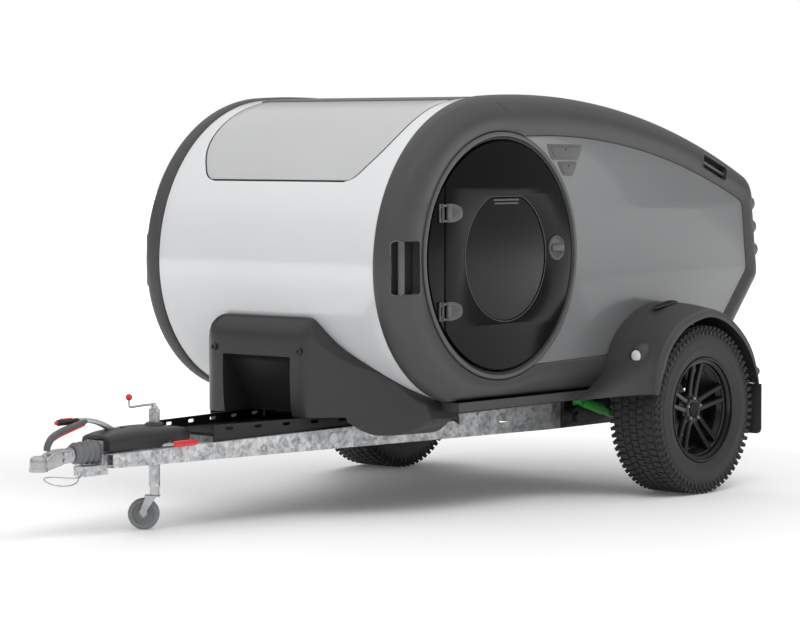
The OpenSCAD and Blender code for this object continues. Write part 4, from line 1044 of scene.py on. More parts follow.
fixedHinges = join("left_door_hinges", fixedParts)
twinHinges = mirrored(fixedHinges, "right_door_hinges")
assign(fixedHinges, "trailer", "gloss_black", "door_hinges")
assign(twinHinges, "trailer", "gloss_black")
print("doors ready")

# Fenders, their lamps and the mudflaps
fenderShape = dict(bodyY=0.744, lipY=1.0455, crown=0.020, round=0.026, lipDepth=0.018, thick=0.006,
                   tyreRoom=0.408)
bodyCurve = [(-0.640, 0.452), (-0.584, 0.474), (-0.524, 0.496), (-0.434, 0.552), (-0.383, 0.632),
             (-0.332, 0.716), (-0.274, 0.771), (-0.197, 0.818), (-0.088, 0.856),
             (0.0, 0.866), (0.12, 0.856), (0.24, 0.806), (0.335, 0.725), (0.400, 0.625), (0.425, 0.545),
             (0.428, 0.484)]
lipCurve = [(-0.418, 0.482), (-0.412, 0.520), (-0.398, 0.578), (-0.358, 0.667), (-0.296, 0.741),
            (-0.196, 0.806), (-0.076, 0.840),
            (0.03, 0.846), (0.152, 0.812), (0.262, 0.745), (0.348, 0.660), (0.398, 0.565), (0.416, 0.500),
            (0.420, 0.482)]


def evenly(points, count):
    dense = curveThrough(points, 400)
    run = np.r_[0, np.cumsum(np.linalg.norm(np.diff(dense, axis=0), axis=1))]
    return np.stack([np.interp(np.linspace(0, run[-1], count), run, dense[:, i]) for i in (0, 1)], axis=1)


def fenderShell():
    s = fenderShape
    inner, outer = evenly(bodyCurve, 91), evenly(lipCurve, 91)
    loops = []
    for (ax, az), (lx, lz) in zip(inner, outer):
        out = np.array([lx, lz - hubZ])
        out /= np.linalg.norm(out)
        lipPoint = np.array([lx, lz])
        span = []
        for t in np.linspace(0, 1, 13):
            y = s["bodyY"] + (s["lipY"] - s["round"] - s["bodyY"]) * t
            mix = t * t * (3 - 2 * t) * 0.35 + t * 0.65
            crown = out * s["crown"] * math.sin(math.pi * t) * 0.6
            x, z = np.array([ax, az]) * (1 - mix) + lipPoint * mix + crown
            span.append((x, y, z))
        for turn in np.linspace(0, 90, 7)[1:]:
            a = math.radians(turn)
            x, z = lipPoint - out * s["round"] * (1 - math.cos(a)) * 0.8
            span.append((x, s["lipY"] - s["round"] * (1 - math.sin(a)), z))
        low = lipPoint - out * (s["round"] * 0.8 + s["lipDepth"])
        reach = np.linalg.norm(low - (0, hubZ))
        if reach < s["tyreRoom"]:
            low = np.array([0, hubZ]) + (low - (0, hubZ)) * s["tyreRoom"] / reach
        span.append((low[0], s["lipY"], low[1]))
        span.append((low[0], s["lipY"] - 0.004, low[1]))
        back = [(x - out[0] * s["thick"], min(y, s["lipY"] - s["thick"]), z - out[1] * s["thick"]) for x, y,
                z in span[:-2][::-1]]
        span += [(low[0], s["lipY"] - s["thick"], low[1])] + back
        loops.append([(axleX + x, -y, z) for x, y, z in span])
    return loft("fender", loops, "fenderGrey", angle=38)


lampShape = dict(x=-0.381, y=0.9165, z=0.648)


def fenderFittings():
    s = lampShape
    place = (axleX, -s["y"], s["z"])
    x = s["x"]
    housing = turned("housing", [(0, x + 0.06), (0.062, x + 0.06), (0.052, x + 0.02), (0.041, x - 0.010),
                                 (0.034, x - 0.0155), (0.029, x - 0.016), (0.0285, x - 0.006),
                                 (0, x - 0.006)], "fenderGrey", place, "X", 56)
    scoop = roundCorners([(-0.095, -0.022), (0.075, -0.030), (0.075, 0.030), (-0.095, 0.022)], 0.02)
    put = tilted((axleX - 0.085, -0.852, 0.8655),
                 math.radians(-9)) @ Matrix.Rotation(math.radians(3.5), 4, "X")
    rimRing = plate("scoopRim", [scoop, (scoop * (0.9, 0.8))[::-1]], 0.004, "fenderGrey", put, 0.0018)
    # Painted shade: a black plate on the floor of the scoop, inside its rim
    floor = plate("scoopFloor", [scoop * (0.88, 0.75)], 0.003, "gapBlack",
                  put @ Matrix.Translation((0, 0, -0.0015)), 0.0006)
    lens = [(0, x - 0.0185), (0.010, x - 0.0183), (0.020, x - 0.017), (0.0255, x - 0.014),
            (0.0265, x - 0.008), (0.0265, x + 0.01), (0, x + 0.01)]
    lamp = turned("lamp", lens, "whiteLens", place, "X", 48)
    rearPlace = (axleX, -1.000, 0.535)
    rearLamp = turned("rearLamp", [(0, 0.395), (0.024, 0.395), (0.024, 0.438), (0.021, 0.444), (0, 0.444)],
                      "fenderGrey", rearPlace, "X", 40)
    rearLens = turned("rearLens", [(0, 0.443), (0.0195, 0.443), (0.0195, 0.448), (0.015, 0.453),
                                   (0.007, 0.455), (0, 0.4555)], "redLens", rearPlace, "X", 36)
    return [housing, rimRing, floor], [lamp], [rearLamp, rearLens]


fenderParts, lampParts, rearParts = fenderFittings()
bothSides(join("left_fender_skin", [fenderShell()] + fenderParts), "trailer", "grey_plastic",
          ["left_fender"], ["right_fender"])
lampPiece = join("left_marker_lens", lampParts)
twinLamp = mirrored(lampPiece, "right_marker_lens")
assign(lampPiece, "trailer", "white_lens", "marker_lamps")
assign(twinLamp, "trailer", "white_lens", "marker_lamps")
bothSides(join("left_rear_marker", rearParts), "trailer", "grey_plastic")
flapLow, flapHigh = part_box("mudflaps")
flap = roundCorners([(-flapHigh.y, flapLow.z), (-flapHigh.y, flapHigh.z), (-0.745, flapHigh.z),
                     (-0.745, flapLow.z)], [0.03, 0.002, 0.002, 0.03])
flapParts = [plate("flap", [flap], flapHigh.x - flapLow.x, "flapRubber",
                   rearwards((flapLow.x + flapHigh.x) / 2), 0.0025)]
rib = ringBlock("rib", (0.002, 0.22, 0.004), "flapRubber", flatPut(0, 0, 0), 0.0009)
flapParts.append(repeated("flapRibs", "line", rib, "flapRubber",
                          Matrix.Translation((flapLow.x - 0.0002, -0.895, flapLow.z + 0.03)), Count=5,
                          Start=(0, 0, 0), Step=(0, 0, 0.014)))
leftFlap = join("left_flap", flapParts)
rightFlap = mirrored(leftFlap, "right_flap")
assign(leftFlap, "trailer", "rubber", "mudflaps")
assign(rightFlap, "trailer", "rubber", "mudflaps")
print("fenders ready")

# Tyres with tread blocks, and the rims
wheelShape = dict(tyreR=0.385, halfWidth=0.1325, spokes=5, hubFace=0.066, rimFace=0.100, pitch=70)


def bothHalves(points):
    return points + [(r, -h) for r, h in points[::-1]]


def tyrePieces(place):
    w = wheelShape["halfWidth"]
    outer = [(0.218, w - 0.030), (0.226, w - 0.026), (0.232, w - 0.020), (0.239, w - 0.0185),
             (0.243, w - 0.0125), (0.256, w - 0.007), (0.272, w - 0.0025),
             (0.279, w - 0.001), (0.2805, w + 0.0005), (0.2845, w + 0.0005), (0.286, w - 0.0005),
             (0.306, w - 0.0005), (0.322, w - 0.002), (0.3235, w - 0.0005),
             (0.327, w - 0.0007), (0.3285, w - 0.003), (0.345, w - 0.006), (0.360, w - 0.011),
             (0.368, w - 0.018), (0.3735, w - 0.027), (0.3765, w - 0.040), (0.378, w - 0.075),
             (0.3785, 0.02)]
    inner = [(0.206, w - 0.046), (0.236, w - 0.036), (0.291, w - 0.014), (0.340, w - 0.018),
             (0.361, w - 0.045)]
    parts = [turned("carcass", bothHalves(outer) + bothHalves(inner)[::-1], "tyreRubber", place,
                    segments=120, side=-1, angle=30)]
    count = wheelShape["pitch"]
    turnIn = Matrix.Translation(place) @ Matrix.Rotation(math.radians(90), 4, "X")
    pitch = 2 * math.pi * wheelShape["tyreR"] / count

    def tread(name, shape, axial, radius, thick, phase, tilt=0.0, bevel=0.0014):
        put = Matrix.Translation((0, 0, axial)) @ Matrix.Rotation(tilt, 4, "Y") @ rearwards(-thick / 2)
        block = plate("block", [shape], thick, "treadRubber", put, bevel)
        return repeated(name, "circle", block, "treadRubber", turnIn, Count=count, Radius=radius,
                        Phase=phase * 2 * math.pi / count)

    g = pitch * 0.43
    zig = np.array([(-g, -0.017), (-g * 0.2, -0.019), (0, -0.012), (g, -0.015), (g * 0.95, 0.014),
                    (g * 0.15, 0.019), (0, 0.012), (-g * 0.95, 0.017)])
    hook = np.array([(-g, -0.015), (g * 0.8, -0.018), (g, 0.004), (g * 0.3, 0.006), (g * 0.35, 0.018),
                     (-g * 0.9, 0.014)])
    parts.append(tread("rowMid", zig, 0.0, 0.385, 0.012, 0))
    parts.append(tread("rowLeft", hook, 0.0405, 0.3848, 0.012, 0.5))
    parts.append(tread("rowRight", hook * (-1, -1), -0.0405, 0.3848, 0.012, 0.5))
    for side in (-1, 1):
        shoulder = np.array([(-g * 0.95, -0.016), (g * 0.7, -0.018), (g * 0.95, 0.019),
                             (-g * 0.7, 0.021)]) * (1, side)
        parts.append(tread("shoulder", shoulder, side * 0.0815, 0.3832, 0.013, 0.15,
                           side * math.radians(4)))
        lug = np.array([(-g * 0.9, -0.014), (g * 0.85, -0.014), (g * 0.6, 0.016),
                        (-g * 0.35, 0.017)]) * (1, side)
        parts.append(tread("lug", lug, side * 0.1125, 0.3725, 0.012, 0.2, side * math.radians(48), 0.002))
        rib = np.array([(-g * 0.55, -0.009), (g * 0.5, -0.009), (g * 0.35, 0.012),
                        (-g * 0.2, 0.012)]) * (1, side)
        parts.append(tread("sideRib", rib, side * 0.1270, 0.3500, 0.006, 0.2, side * math.radians(76),
                           0.0018))
    return parts


# Points u across a spoke and v out from the hub, at radius r and angle a on the wheel
def onSpoke(place, r, a, shape):
    c, s = math.cos(a), math.sin(a)
    return [(place[0] + r * c - u * s, place[1] - v, place[2] + r * s + u * c) for u, v in shape]


def rimPieces(place):
    w, hubFace, rimFace = (wheelShape[key] for key in ("halfWidth", "hubFace", "rimFace"))
    face = [(0.238, w - 0.0115), (0.2365, w - 0.0095), (0.233, w - 0.0095), (0.2295, w - 0.0125),
            (0.2275, w - 0.020), (0.221, w - 0.023), (0.2135, w - 0.0265), (0.2105, w - 0.034),
            (0.2095, w - 0.055)]
    back = [(0.200, -(w - 0.075)), (0.208, -(w - 0.034)), (0.229, -(w - 0.0125)), (0.234, -(w - 0.0095)),
            (0.238, -(w - 0.0115)), (0.238, -(w - 0.0165)), (0.2177, -(w - 0.0295)), (0.2177, -(w - 0.060)),
            (0.202, -(w - 0.072))]
    rest = [(0.202, w - 0.072), (0.2177, w - 0.060), (0.2177, w - 0.0295), (0.238, w - 0.0165)]
    parts = [turned("barrel", face + [(0.193, w - 0.074)] + [(0.193, -(w - 0.078))] + back + rest,
                    "wheelGloss", place, segments=120, side=-1, angle=32)]
    hub = [(0.0303, 0.022), (0.078, 0.022), (0.078, 0.046), (0.074, 0.056), (0.066, 0.0585),
           (0.062, 0.0585), (0.0605, 0.063), (0.052, 0.066), (0.038, 0.0665), (0.034, 0.064),
           (0.0303, 0.0635)]
    parts.append(turned("hub", hub, "wheelGloss", place, segments=72, side=-1))
    cap = [(0, 0.0535), (0.0300, 0.0535), (0.0300, 0.0655), (0.0285, 0.0675), (0.024, 0.0685),
           (0.0225, 0.0672), (0.012, 0.0678), (0, 0.068)]
    parts.append(turned("cap", cap, "gapBlack", place, segments=56, side=-1))
    turnIn = Matrix.Translation(place) @ Matrix.Rotation(math.radians(90), 4, "X")
    nut = [(0.0, 0.060), (0.0105, 0.060), (0.0105, 0.0625), (0.0085, 0.0632), (0.0085, 0.0725),
           (0.0065, 0.075), (0, 0.0752)]
    bolt = turned("bolt", nut, "plainSteel", (0, 0, 0), "Z", 6, 30)
    parts.append(repeated("bolts", "circle", bolt, "castDrum", turnIn, Count=5, Radius=0.0495,
                          Phase=math.radians(18)))
    for k in range(wheelShape["spokes"]):
        a = math.radians(90 + k * 360 / wheelShape["spokes"])
        for s in (-1, 1):
            loops = []
            for t in np.linspace(0, 1, 13):
                r = 0.040 + t * 0.176
                side = s * (0.0195 + 0.013 * t)
                wide = 0.0135 + 0.003 * (1 - t) + 0.004 * max(0, t - 0.85) / 0.15
                top = hubFace - 0.004 + (rimFace - hubFace) * (t ** 1.4)
                low = 0.030 + 0.045 * t
                shape = roundCorners([(side - wide, low), (side + wide, low), (side + wide * 0.72, top),
                                      (side - wide * 0.72, top)], 0.0045, 3)
                loops.append(onSpoke(place, r, a, shape))
            parts.append(loft("spoke", loops, "wheelGloss", angle=30))
        webLoops = []
        for r, half, low, top in ((0.05, 0.020, 0.03, 0.055), (0.075, 0.021, 0.034, 0.054),
                                  (0.098, 0.022, 0.038, 0.050)):
            shape = softBox(-half, low, half, top, 0.003, 2)
            webLoops.append(onSpoke(place, r, a, shape))
        parts.append(loft("web", webLoops, "wheelGloss"))
    valveX, valveZ = place[0] + 0.204 * math.cos(0.5), place[2] + 0.204 * math.sin(0.5)
    valveLine = [(valveX, place[1] - h, valveZ) for h in (0.070, 0.085, 0.100)]
    parts.append(rod("valve", valveLine, 0.0035, "gapBlack", 12))
    return parts


hubPlace = (axleX, -trackHalf, hubZ)
bothSides(join("left_tyre_tread", tyrePieces(hubPlace)), ("left_wheel", "right_wheel"), "tyre",
          ["left_tyre"], ["right_tyre"])
bothSides(join("left_wheel_rim", rimPieces(hubPlace)), ("left_wheel", "right_wheel"), "rim_black",
          ["left_rim"], ["right_rim"])
print("wheels ready")

# Nose cover, with its swept wings and the alcove
coverShape = dict(half=0.639, low=0.349, rear=-1.302, flat=0.280, frontX=-1.905, sweep=1.19, skin=0.006,
                  alcoveHalf=0.196, alcoveTop=0.69)
topEdge = roundCorners([(0.0, 0.858), (0.262, 0.858), (0.300, 0.806), (0.362, 0.724), (0.489, 0.629),
                        (0.620, 0.500), (0.640, 0.400)], [0, 0.05, 0.04, 0.06, 0.1, 0.01, 0], 8)
topEdge = topEdge[np.argsort(topEdge[:, 0], kind="stable")]
frontEdge = roundCorners([(-1.846, 0.30), (-1.861, 0.36), (-1.899, 0.45), (-1.914, 0.62), (-1.899, 0.80),
                          (-1.83, 0.866), (-1.70, 0.90)], [0, 0.03, 0.08, 0.12, 0.09, 0.06, 0], 8)
frontEdge = frontEdge[np.argsort(frontEdge[:, 1], kind="stable")]
chinLine = shellLine[shellRun < topRun]


def chinX(z):
    return float(np.interp(z, chinLine[:, 1], chinLine[:, 0]))


def coverFrontX(y, z):
    s = coverShape
    d = abs(y) - s["flat"]
    swept = s["frontX"] + s["sweep"] * 0.5 * (d + math.sqrt(d * d + 0.0016)) - 0.012
    plain = float(np.interp(z, frontEdge[:, 1], frontEdge[:, 0]))
    gap = plain - swept
    return min(0.5 * (plain + swept + math.sqrt(gap * gap + 0.0003)),
               chinX(max(z, line["bellyZ"])) - s["skin"])


def coverSection(y):
    s = coverShape
    zt = float(np.interp(abs(y), topEdge[:, 0], topEdge[:, 1]))
    wing = max(0, (abs(y) - 0.52) / 0.12)
    middle = max(0, min(1, (0.49 - abs(y)) / 0.085))
    low = s["low"] + 0.07 * wing ** 2 + 0.055 * middle ** 2
    zb = max(zt - 0.001, line["bellyZ"])
    xb = chinX(zb) - 0.0012
    side = min(1.0, max(0.0, (s["half"] - abs(y)) / 0.03))
    r = min(0.004 + 0.024 * side, 0.8 * (xb - coverFrontX(y, zt)))
    front = [(coverFrontX(y, z) + 0.010 * (1 - side) ** 2, z) for z in np.linspace(low + 0.012, zt - r, 22)]
    fx = front[-1][0]
    corner = [(fx + r * (1 - math.cos(a)), zt - r + r * math.sin(a))
              for a in np.radians(np.linspace(0, 90, 7))[1:]]
    corner = [(min(x, xb - 0.0001 * (6 - k)), z) for k, (x, z) in enumerate(corner)]
    under = line["bellyZ"] - 0.001
    down = []
    for t in np.linspace(0, 1, 18):
        z = zb + (line["bellyZ"] - zb) * t
        if zb > line["bellyZ"] + 1e-5:
            down.append((chinX(z) - 0.0012, min(z, zt - 0.0005 * (t > 0))))
        else:
            down.append((xb + 0.02 * t, min(under, zt - 0.0005)))
    tail = [(s["rear"] - 0.03, min(under, zt - 0.0005)), (s["rear"], min(0.47, zt - 0.006)),
            (s["rear"] - 0.006, min(0.45, zt - 0.02)), (s["rear"] - 0.046, max(0.36, low + 0.008)),
            (s["rear"] - 0.06, low + 0.001)]
    x0, x1 = front[0][0], s["rear"] - 0.06
    base = [(x1 + (x0 - x1) * t, low + 0.006 * t) for t in (0.25, 0.5, 0.75, 0.95)]
    return front + corner + down + tail + base


coverEnds = np.linspace(0.60, coverShape["half"], 8)
coverYs = np.unique(np.round(np.r_[-coverEnds, np.linspace(-0.60, 0.60, 81), coverEnds], 5))
coverSkin = loft("cover", [[(axleX + x, y, z) for x, z in coverSection(y)] for y in coverYs], "coverBlack",
                 angle=32)
trayLow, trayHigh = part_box("drawbar_tray")
carve(coverSkin, ringBlock("trayCut", (0.8, 0.804, 0.2), "coverBlack",
                           flatPut(axleX - 1.6, 0, trayHigh.z + 0.006 - 0.1), 0.010), 32)
ax, az = axleX - 1.852, coverShape["alcoveTop"]
alcove = roundCorners([(ax - 0.3, az - 0.268), (ax + 0.160, az - 0.268), (ax, az), (ax - 0.3, az)],
                      [0.03, 0.03, 0.04, 0.03])
carve(coverSkin, plate("alcove", [alcove], 2 * coverShape["alcoveHalf"], "coverBlack",
                       sidePut(coverShape["alcoveHalf"], 2 * coverShape["alcoveHalf"]), 0.006), 32)
coverParts = [coverSkin, ringBlock("trayBack", (0.006, 0.520, 0.060), "trayBlack",
                                   flatPut(axleX - 1.563, 0, 0.418), 0.001)]
for sy in (-1, 1):
    ring = [(0.0075, -0.004), (0.0145, -0.004), (0.0145, 0.0008), (0.0125, 0.0026), (0.009, 0.0018),
            (0.0075, -0.001)]
    spot = (axleX - 1.9065, sy * 0.247, 0.716)
    coverParts.append(turned("screwRing", [(r, -h) for r, h in ring], "coverBlack", spot, "X", 36))
    coverParts.append(turned("screwHole", [(0, -0.0008), (0.0082, -0.0008), (0.0082, 0.004), (0, 0.004)],
                             "gapBlack", spot, "X", 30))
coverPiece = join("nose_guard", coverParts)
assign(coverPiece, "trailer", "black_plastic", "nose_cover")
print("nose cover ready")

# Tail lamps
tailLampShape = dict(y=-0.667, heights=(1.085, 1.195, 1.305), depth=0.046)
lowestLampX = tailP[0] - (tailLampShape["heights"][0] - tailP[1]) * math.tan(lean)
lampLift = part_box("tail_lamps")[1].x - axleX - lowestLampX - tailLampShape["depth"]


def tailLamps():
    plateShape = softBox(-0.032, 0.006, 0.032, 0.400, 0.016)
    put = tilted((axleX + tailP[0] + lampLift - 0.0065, tailLampShape["y"], tailP[1]), -lean) @ rearwards()
    bodies, lenses = [plate("lampPlate", [plateShape + (0, 0.006)], 0.0125, "fenderGrey", put, 0.004)], []
    for z in tailLampShape["heights"]:
        x = tailP[0] - (z - tailP[1]) * math.tan(lean) + lampLift
        place = (axleX, tailLampShape["y"], z)
        body = [(0, x - 0.004), (0.037, x - 0.004), (0.037, x + 0.018), (0.0355, x + 0.028),
                (0.032, x + 0.033), (0.029, x + 0.033), (0.029, x + 0.028), (0, x + 0.028)]
        bodies.append(turned("lampBody", body, "handleGrey", place, "X", 48))
        lens = [(0, x + 0.027), (0.0285, x + 0.027), (0.0285, x + 0.036), (0.025, x + 0.041),
                (0.017, x + 0.0445), (0.008, x + 0.0458), (0, x + 0.046)]
        lenses.append(turned("lampLens", lens, "redLens", place, "X", 48))
    return join("left_tail_lamps", bodies + lenses)


leftLamps = tailLamps()
rightLamps = mirrored(leftLamps, "right_tail_lamps")
assign(leftLamps, "trailer", "red_lens", "tail_lamps")
assign(rightLamps, "trailer", "red_lens", "tail_lamps")
print("lamps ready")

# Cabin lining and mattress
liningShape = dict(half=0.60, inset=0.0355, thick=0.004, end=0.02)
mattressShape = dict(x=-0.45, low=0.505, size=(1.55, 1.18, 0.11), round=0.03)
liningRows = spaced(liningShape["end"], hatchRun - liningShape["end"], 0.06)
liningColumns = list(np.linspace(-1, 1, 9) * liningShape["half"])
lining = shellPatch("cabin_lining", liningRows, lambda s: liningColumns, "cabinLining",
                    inset=liningShape["inset"], thick=liningShape["thick"], bevel=0)
assign(lining, "trailer", "grey_paint")
mattressPut = flatPut(axleX + mattressShape["x"], 0, mattressShape["low"] + mattressShape["size"][2] / 2)
mat = ringBlock("mattress", mattressShape["size"], "cabinLining", mattressPut, mattressShape["round"])
assign(mat, "trailer", "grey_paint")

# Finishes of the CAD nodes, kept or replaced
nodeFinish = dict(drawbar_beams="zinc", frame_rails="frameDark", cross_members="zinc",
                  trailing_arms="frameDark", stub_axles="plainSteel", shock_absorbers="damperGreen",
                  left_brake_drum="castDrum", right_brake_drum="castDrum", coupling_head="castSilver",
                  coupling_handle="handleGrey", coupling_shaft="plainSteel",
                  bellows="bellowsGrey", coupling_housing="zinc", handbrake_lever="plainSteel",
                  handbrake_grip="gripBlack", brake_rod="plainSteel",
                  breakaway_cable="plainSteel", drawbar_cover="coverBlack", drawbar_tray="trayBlack",
                  jockey_tube="zinc", jockey_post="plainSteel",
                  jockey_handles="gripRed", jockey_fork="castSilver", jockey_wheel="jockeyRubber",
                  floor_pan="mouldingGrey")
for node, finish in nodeFinish.items():
    mesh = cadNodes[node].data
    mesh.materials.clear()
    mesh.materials.append(look[finish])

# Coupling, hand brake and jockey wheel
couplingShape = dict(ballX=-3.172, shaftZ=0.350, boltX=0.118, bellowsX=0.180)
ballX, shaftZ = axleX + couplingShape["ballX"], couplingShape["shaftZ"]
headParts = [turned("socket", [(0.0255, 0.292), (0.036, 0.292), (0.0385, 0.294), (0.0385, 0.3045),
                               (0.036, 0.3065), (0.0355, 0.312), (0.0355, 0.330), (0.034, 0.340),
                               (0.029, 0.349), (0.020, 0.3545), (0.010, 0.3555), (0, 0.3555), (0, 0.3415),
                               (0.012, 0.338), (0.0215, 0.329), (0.0253, 0.316)], "castSilver",
                               (ballX, 0, 0), "Z", 56)]
neckRows = []
for x, wide, low, high in ((0.004, 0.029, 0.294, 0.333), (0.030, 0.032, 0.295, 0.350),
                           (0.060, 0.029, 0.300, 0.366), (0.095, 0.027, 0.306, 0.373),
                           (0.130, 0.0275, 0.315, 0.3745), (0.168, 0.0275, 0.3165, 0.372)):
    shape = softBox(-wide, low, wide, high, 0.014, 5)
    neckRows.append([(ballX + x, u, v) for u, v in shape])
neckCorners = [curveThrough(np.asarray(neckRows)[:, k], 20) for k in range(len(neckRows[0]))]
headParts.append(loft("neck", np.stack(neckCorners, axis=1), "castSilver", angle=50))
headParts.append(turned("collar", [(0.0228, 0.160), (0.0300, 0.160), (0.0315, 0.162), (0.0315, 0.172),
                                   (0.0300, 0.174), (0.0228, 0.174)], "castSilver",
                                   (ballX, 0, shaftZ - 0.004), "X", 48))
for z in (0.335, 0.362):
    headParts.append(turned("headBolt", [(0, -0.036), (0.0075, -0.036), (0.009, -0.0345), (0.009, -0.029),
                                         (0.006, -0.0285), (0.006, 0.0285), (0.009, 0.029), (0.009, 0.0345),
                                         (0.0075, 0.036), (0, 0.036)], "plainSteel",
                                         (ballX + couplingShape["boltX"], 0, z - 0.006), "Y", 6, 20))
assign(join("coupling_casting", headParts), "trailer", "cast_silver", "coupling_head")

gripLine = curveThrough([(0.044, 0.372), (0.052, 0.398), (0.075, 0.424), (0.120, 0.444), (0.180, 0.460),
                         (0.240, 0.473), (0.263, 0.476)], 34)
handleLoops = []
for k, (x, z) in enumerate(gripLine):
    t = k / (len(gripLine) - 1)
    step = gripLine[min(k + 1, len(gripLine) - 1)] - gripLine[max(k - 1, 0)]
    step /= np.linalg.norm(step)
    up = np.array([-step[1], step[0]])
    wide = 0.0125 + 0.004 * math.sin(math.pi * min(1, t * 1.15)) - 0.004 * (t > 0.97)
    tall = 0.0105 - 0.002 * t
    shape = roundCorners([(-wide, -tall), (wide, -tall), (wide * 0.8, tall), (-wide * 0.8, tall)], 0.006, 3)
    handleLoops.append([(ballX + x + up[0] * v, u, z + up[1] * v) for u, v in shape])
handle = loft("handle", handleLoops, "handleGrey", angle=50)
redLoops = []
for k in range(9, 31):
    x, z = gripLine[k]
    shape = softBox(-0.0095, -0.0065, 0.0095, 0.004, 0.003, 3)
    drop = 0.0135 + 0.004 * math.sin(math.pi * (k - 9) / 21)
    redLoops.append([(ballX + x, u, z - drop + v + 0.004) for u, v in shape])
trigger = loft("trigger", redLoops, "gripRed", angle=50)
assign(join("coupling_lever", [handle, trigger]), "trailer", "black_plastic", "coupling_handle")

foldLoops = [(0.0232, 0.0), (0.034, 0.0), (0.036, 0.003)]
for k in range(4):
    base = 0.006 + k * 0.0305
    grow = 0.0015 * k
    foldLoops += [(0.0345 + grow, base), (0.0365 + grow, base + 0.004), (0.0425 + grow, base + 0.0095),
                  (0.0450 + grow, base + 0.0145), (0.0440 + grow, base + 0.0195),
                  (0.0385 + grow, base + 0.0245), (0.0355 + grow, base + 0.028)]
foldLoops += [(0.043, 0.1275), (0.0445, 0.1295), (0.0232, 0.1295)]
assign(turned("rubber_bellows", foldLoops, "bellowsGrey", (ballX + couplingShape["bellowsX"], 0, shaftZ),
              "X", 64, 50), "trailer", "bellows_grey", "bellows")

leverShape = dict(x=0.257, z=0.135, r=0.343, side=0.034, fromAngle=54, toAngle=91.5, rings=40)
leverC, leverR, leverY = np.array([ballX + leverShape["x"],
                                   leverShape["z"]]), leverShape["r"], leverShape["side"]
leverLoops = []
leverAngles = np.linspace(leverShape["fromAngle"], leverShape["toAngle"], leverShape["rings"])
for k, a in enumerate(np.radians(leverAngles)):
    t = k / (leverShape["rings"] - 1)
    tall, wide = 0.0125 - 0.004 * t, 0.0085
    shape = softBox(-wide, -tall, wide, tall, 0.0035, 3)
    c, s = math.cos(a), math.sin(a)
    leverLoops.append([(leverC[0] + (leverR + v) * c, leverY + u, leverC[1] + (leverR + v) * s) for u,
                       v in shape])
leverParts = [loft("arc", leverLoops, "plainSteel", angle=40)]
legShape = roundCorners([(ballX + 0.436, 0.3968), (ballX + 0.486, 0.3968), (ballX + 0.482, 0.436),
                         (ballX + 0.440, 0.436)], 0.008)
leverParts.append(plate("foot", [legShape], 0.0175, "plainSteel",
                        Matrix(((1, 0, 0, 0), (0, 0, -1, leverY), (0, 1, 0, 0), (0, 0, 0, 1))), 0.002))
ratchet = ringBlock("tooth", (0.004, 0.010, 0.005), "plainSteel", flatPut(0, 0, 0), 0.0008)
leverParts.append(repeated("teeth", "line", ratchet, "plainSteel",
                           Matrix.Translation((ballX + 0.300, leverY, 0.4685)), Count=7, Start=(0, 0, 0),
                           Step=(0.009, 0, -0.0016)))
assign(join("brake_lever", leverParts), "trailer", "steel", "handbrake_lever")
gripZ, gripX = leverC[1] + leverR - 0.002, leverC[0] - 0.0065
gripRows = [(0, -0.1145), (0.0105, -0.1145), (0.0125, -0.112), (0.0132, -0.105), (0.0128, -0.09),
            (0.0134, -0.075), (0.0128, -0.06), (0.0134, -0.045), (0.0128, -0.03), (0.0134, -0.016),
            (0.0138, -0.006), (0.0122, -0.001), (0, -0.001)]
gripParts = [turned("grip", gripRows, "gripBlack", (gripX, leverY, gripZ), "X", 40, 50),
             turned("button", [(0, -0.1265), (0.006, -0.1265), (0.008, -0.1245), (0.008, -0.114),
                               (0, -0.114)], "gripRed", (gripX, leverY, gripZ), "X", 32),
             ringBlock("redTop", (0.058, 0.014, 0.005), "gripRed",
                       Matrix.Translation((gripX - 0.066, leverY, gripZ + 0.0135)), 0.0018)]
assign(join("brake_grip", gripParts), "trailer", "black_plastic", "handbrake_grip")

jockeyShape = dict(postX=-2.520, crankX=-0.146, knobR=0.0141, knobZ=0.558, gripX=-0.079, gripY=-0.1905)
postX = axleX + jockeyShape["postX"]
clampX, clampY = postX + jockeyShape["gripX"], jockeyShape["gripY"]
jockeyParts = [turned("crankBoss", [(0, 0.5005), (0.0145, 0.5005), (0.0155, 0.503), (0.0155, 0.509),
                                    (0.012, 0.512), (0.0095, 0.514), (0.0095, 0.5245), (0.008, 0.526),
                                    (0, 0.526)], "castSilver", (postX, 0, 0), "Z", 40)]
crank = curveThrough([(0.0, 0.519), (-0.03, 0.520), (-0.08, 0.519), (-0.125, 0.517), (-0.142, 0.519),
                      (-0.146, 0.529), (-0.146, 0.546)], 44)
jockeyParts.append(rod("crankArm", [(postX + x, 0, z) for x, z in crank], 0.0048, "castSilver", 18))
knobR, knobZ = jockeyShape["knobR"], jockeyShape["knobZ"]
ball = [(knobR * math.sin(a), knobZ - knobR * math.cos(a)) for a in np.linspace(0, math.pi, 15)]
ball[0], ball[-1] = (0, ball[0][1]), (0, ball[-1][1])
jockeyParts.append(turned("knob", ball, "gripRed", (postX + jockeyShape["crankX"], 0, 0), "Z", 32, 60))
assign(join("jockey_crank", jockeyParts), "trailer", "red_plastic", "jockey_handles")
clampPath = curveThrough([(-0.012, -0.058, 0.376), (-0.040, -0.120, 0.378), (-0.085, -0.176, 0.376),
                          (-0.125, -0.190, 0.374)], 20)
clampArm = rod("clampArm", [(postX + x, y, z) for x, y, z in clampPath], 0.005, "plainSteel", 14)
clampRows = [(0, 0.0), (0.010, 0.0), (0.0125, 0.003), (0.012, 0.014), (0.0135, 0.035), (0.0128, 0.07),
             (0.0135, 0.100), (0.010, 0.134), (0, 0.136)]
clampGrip = turned("clampGrip", clampRows, "gripRed", (clampX, clampY, 0.371), "X", 28, 60)
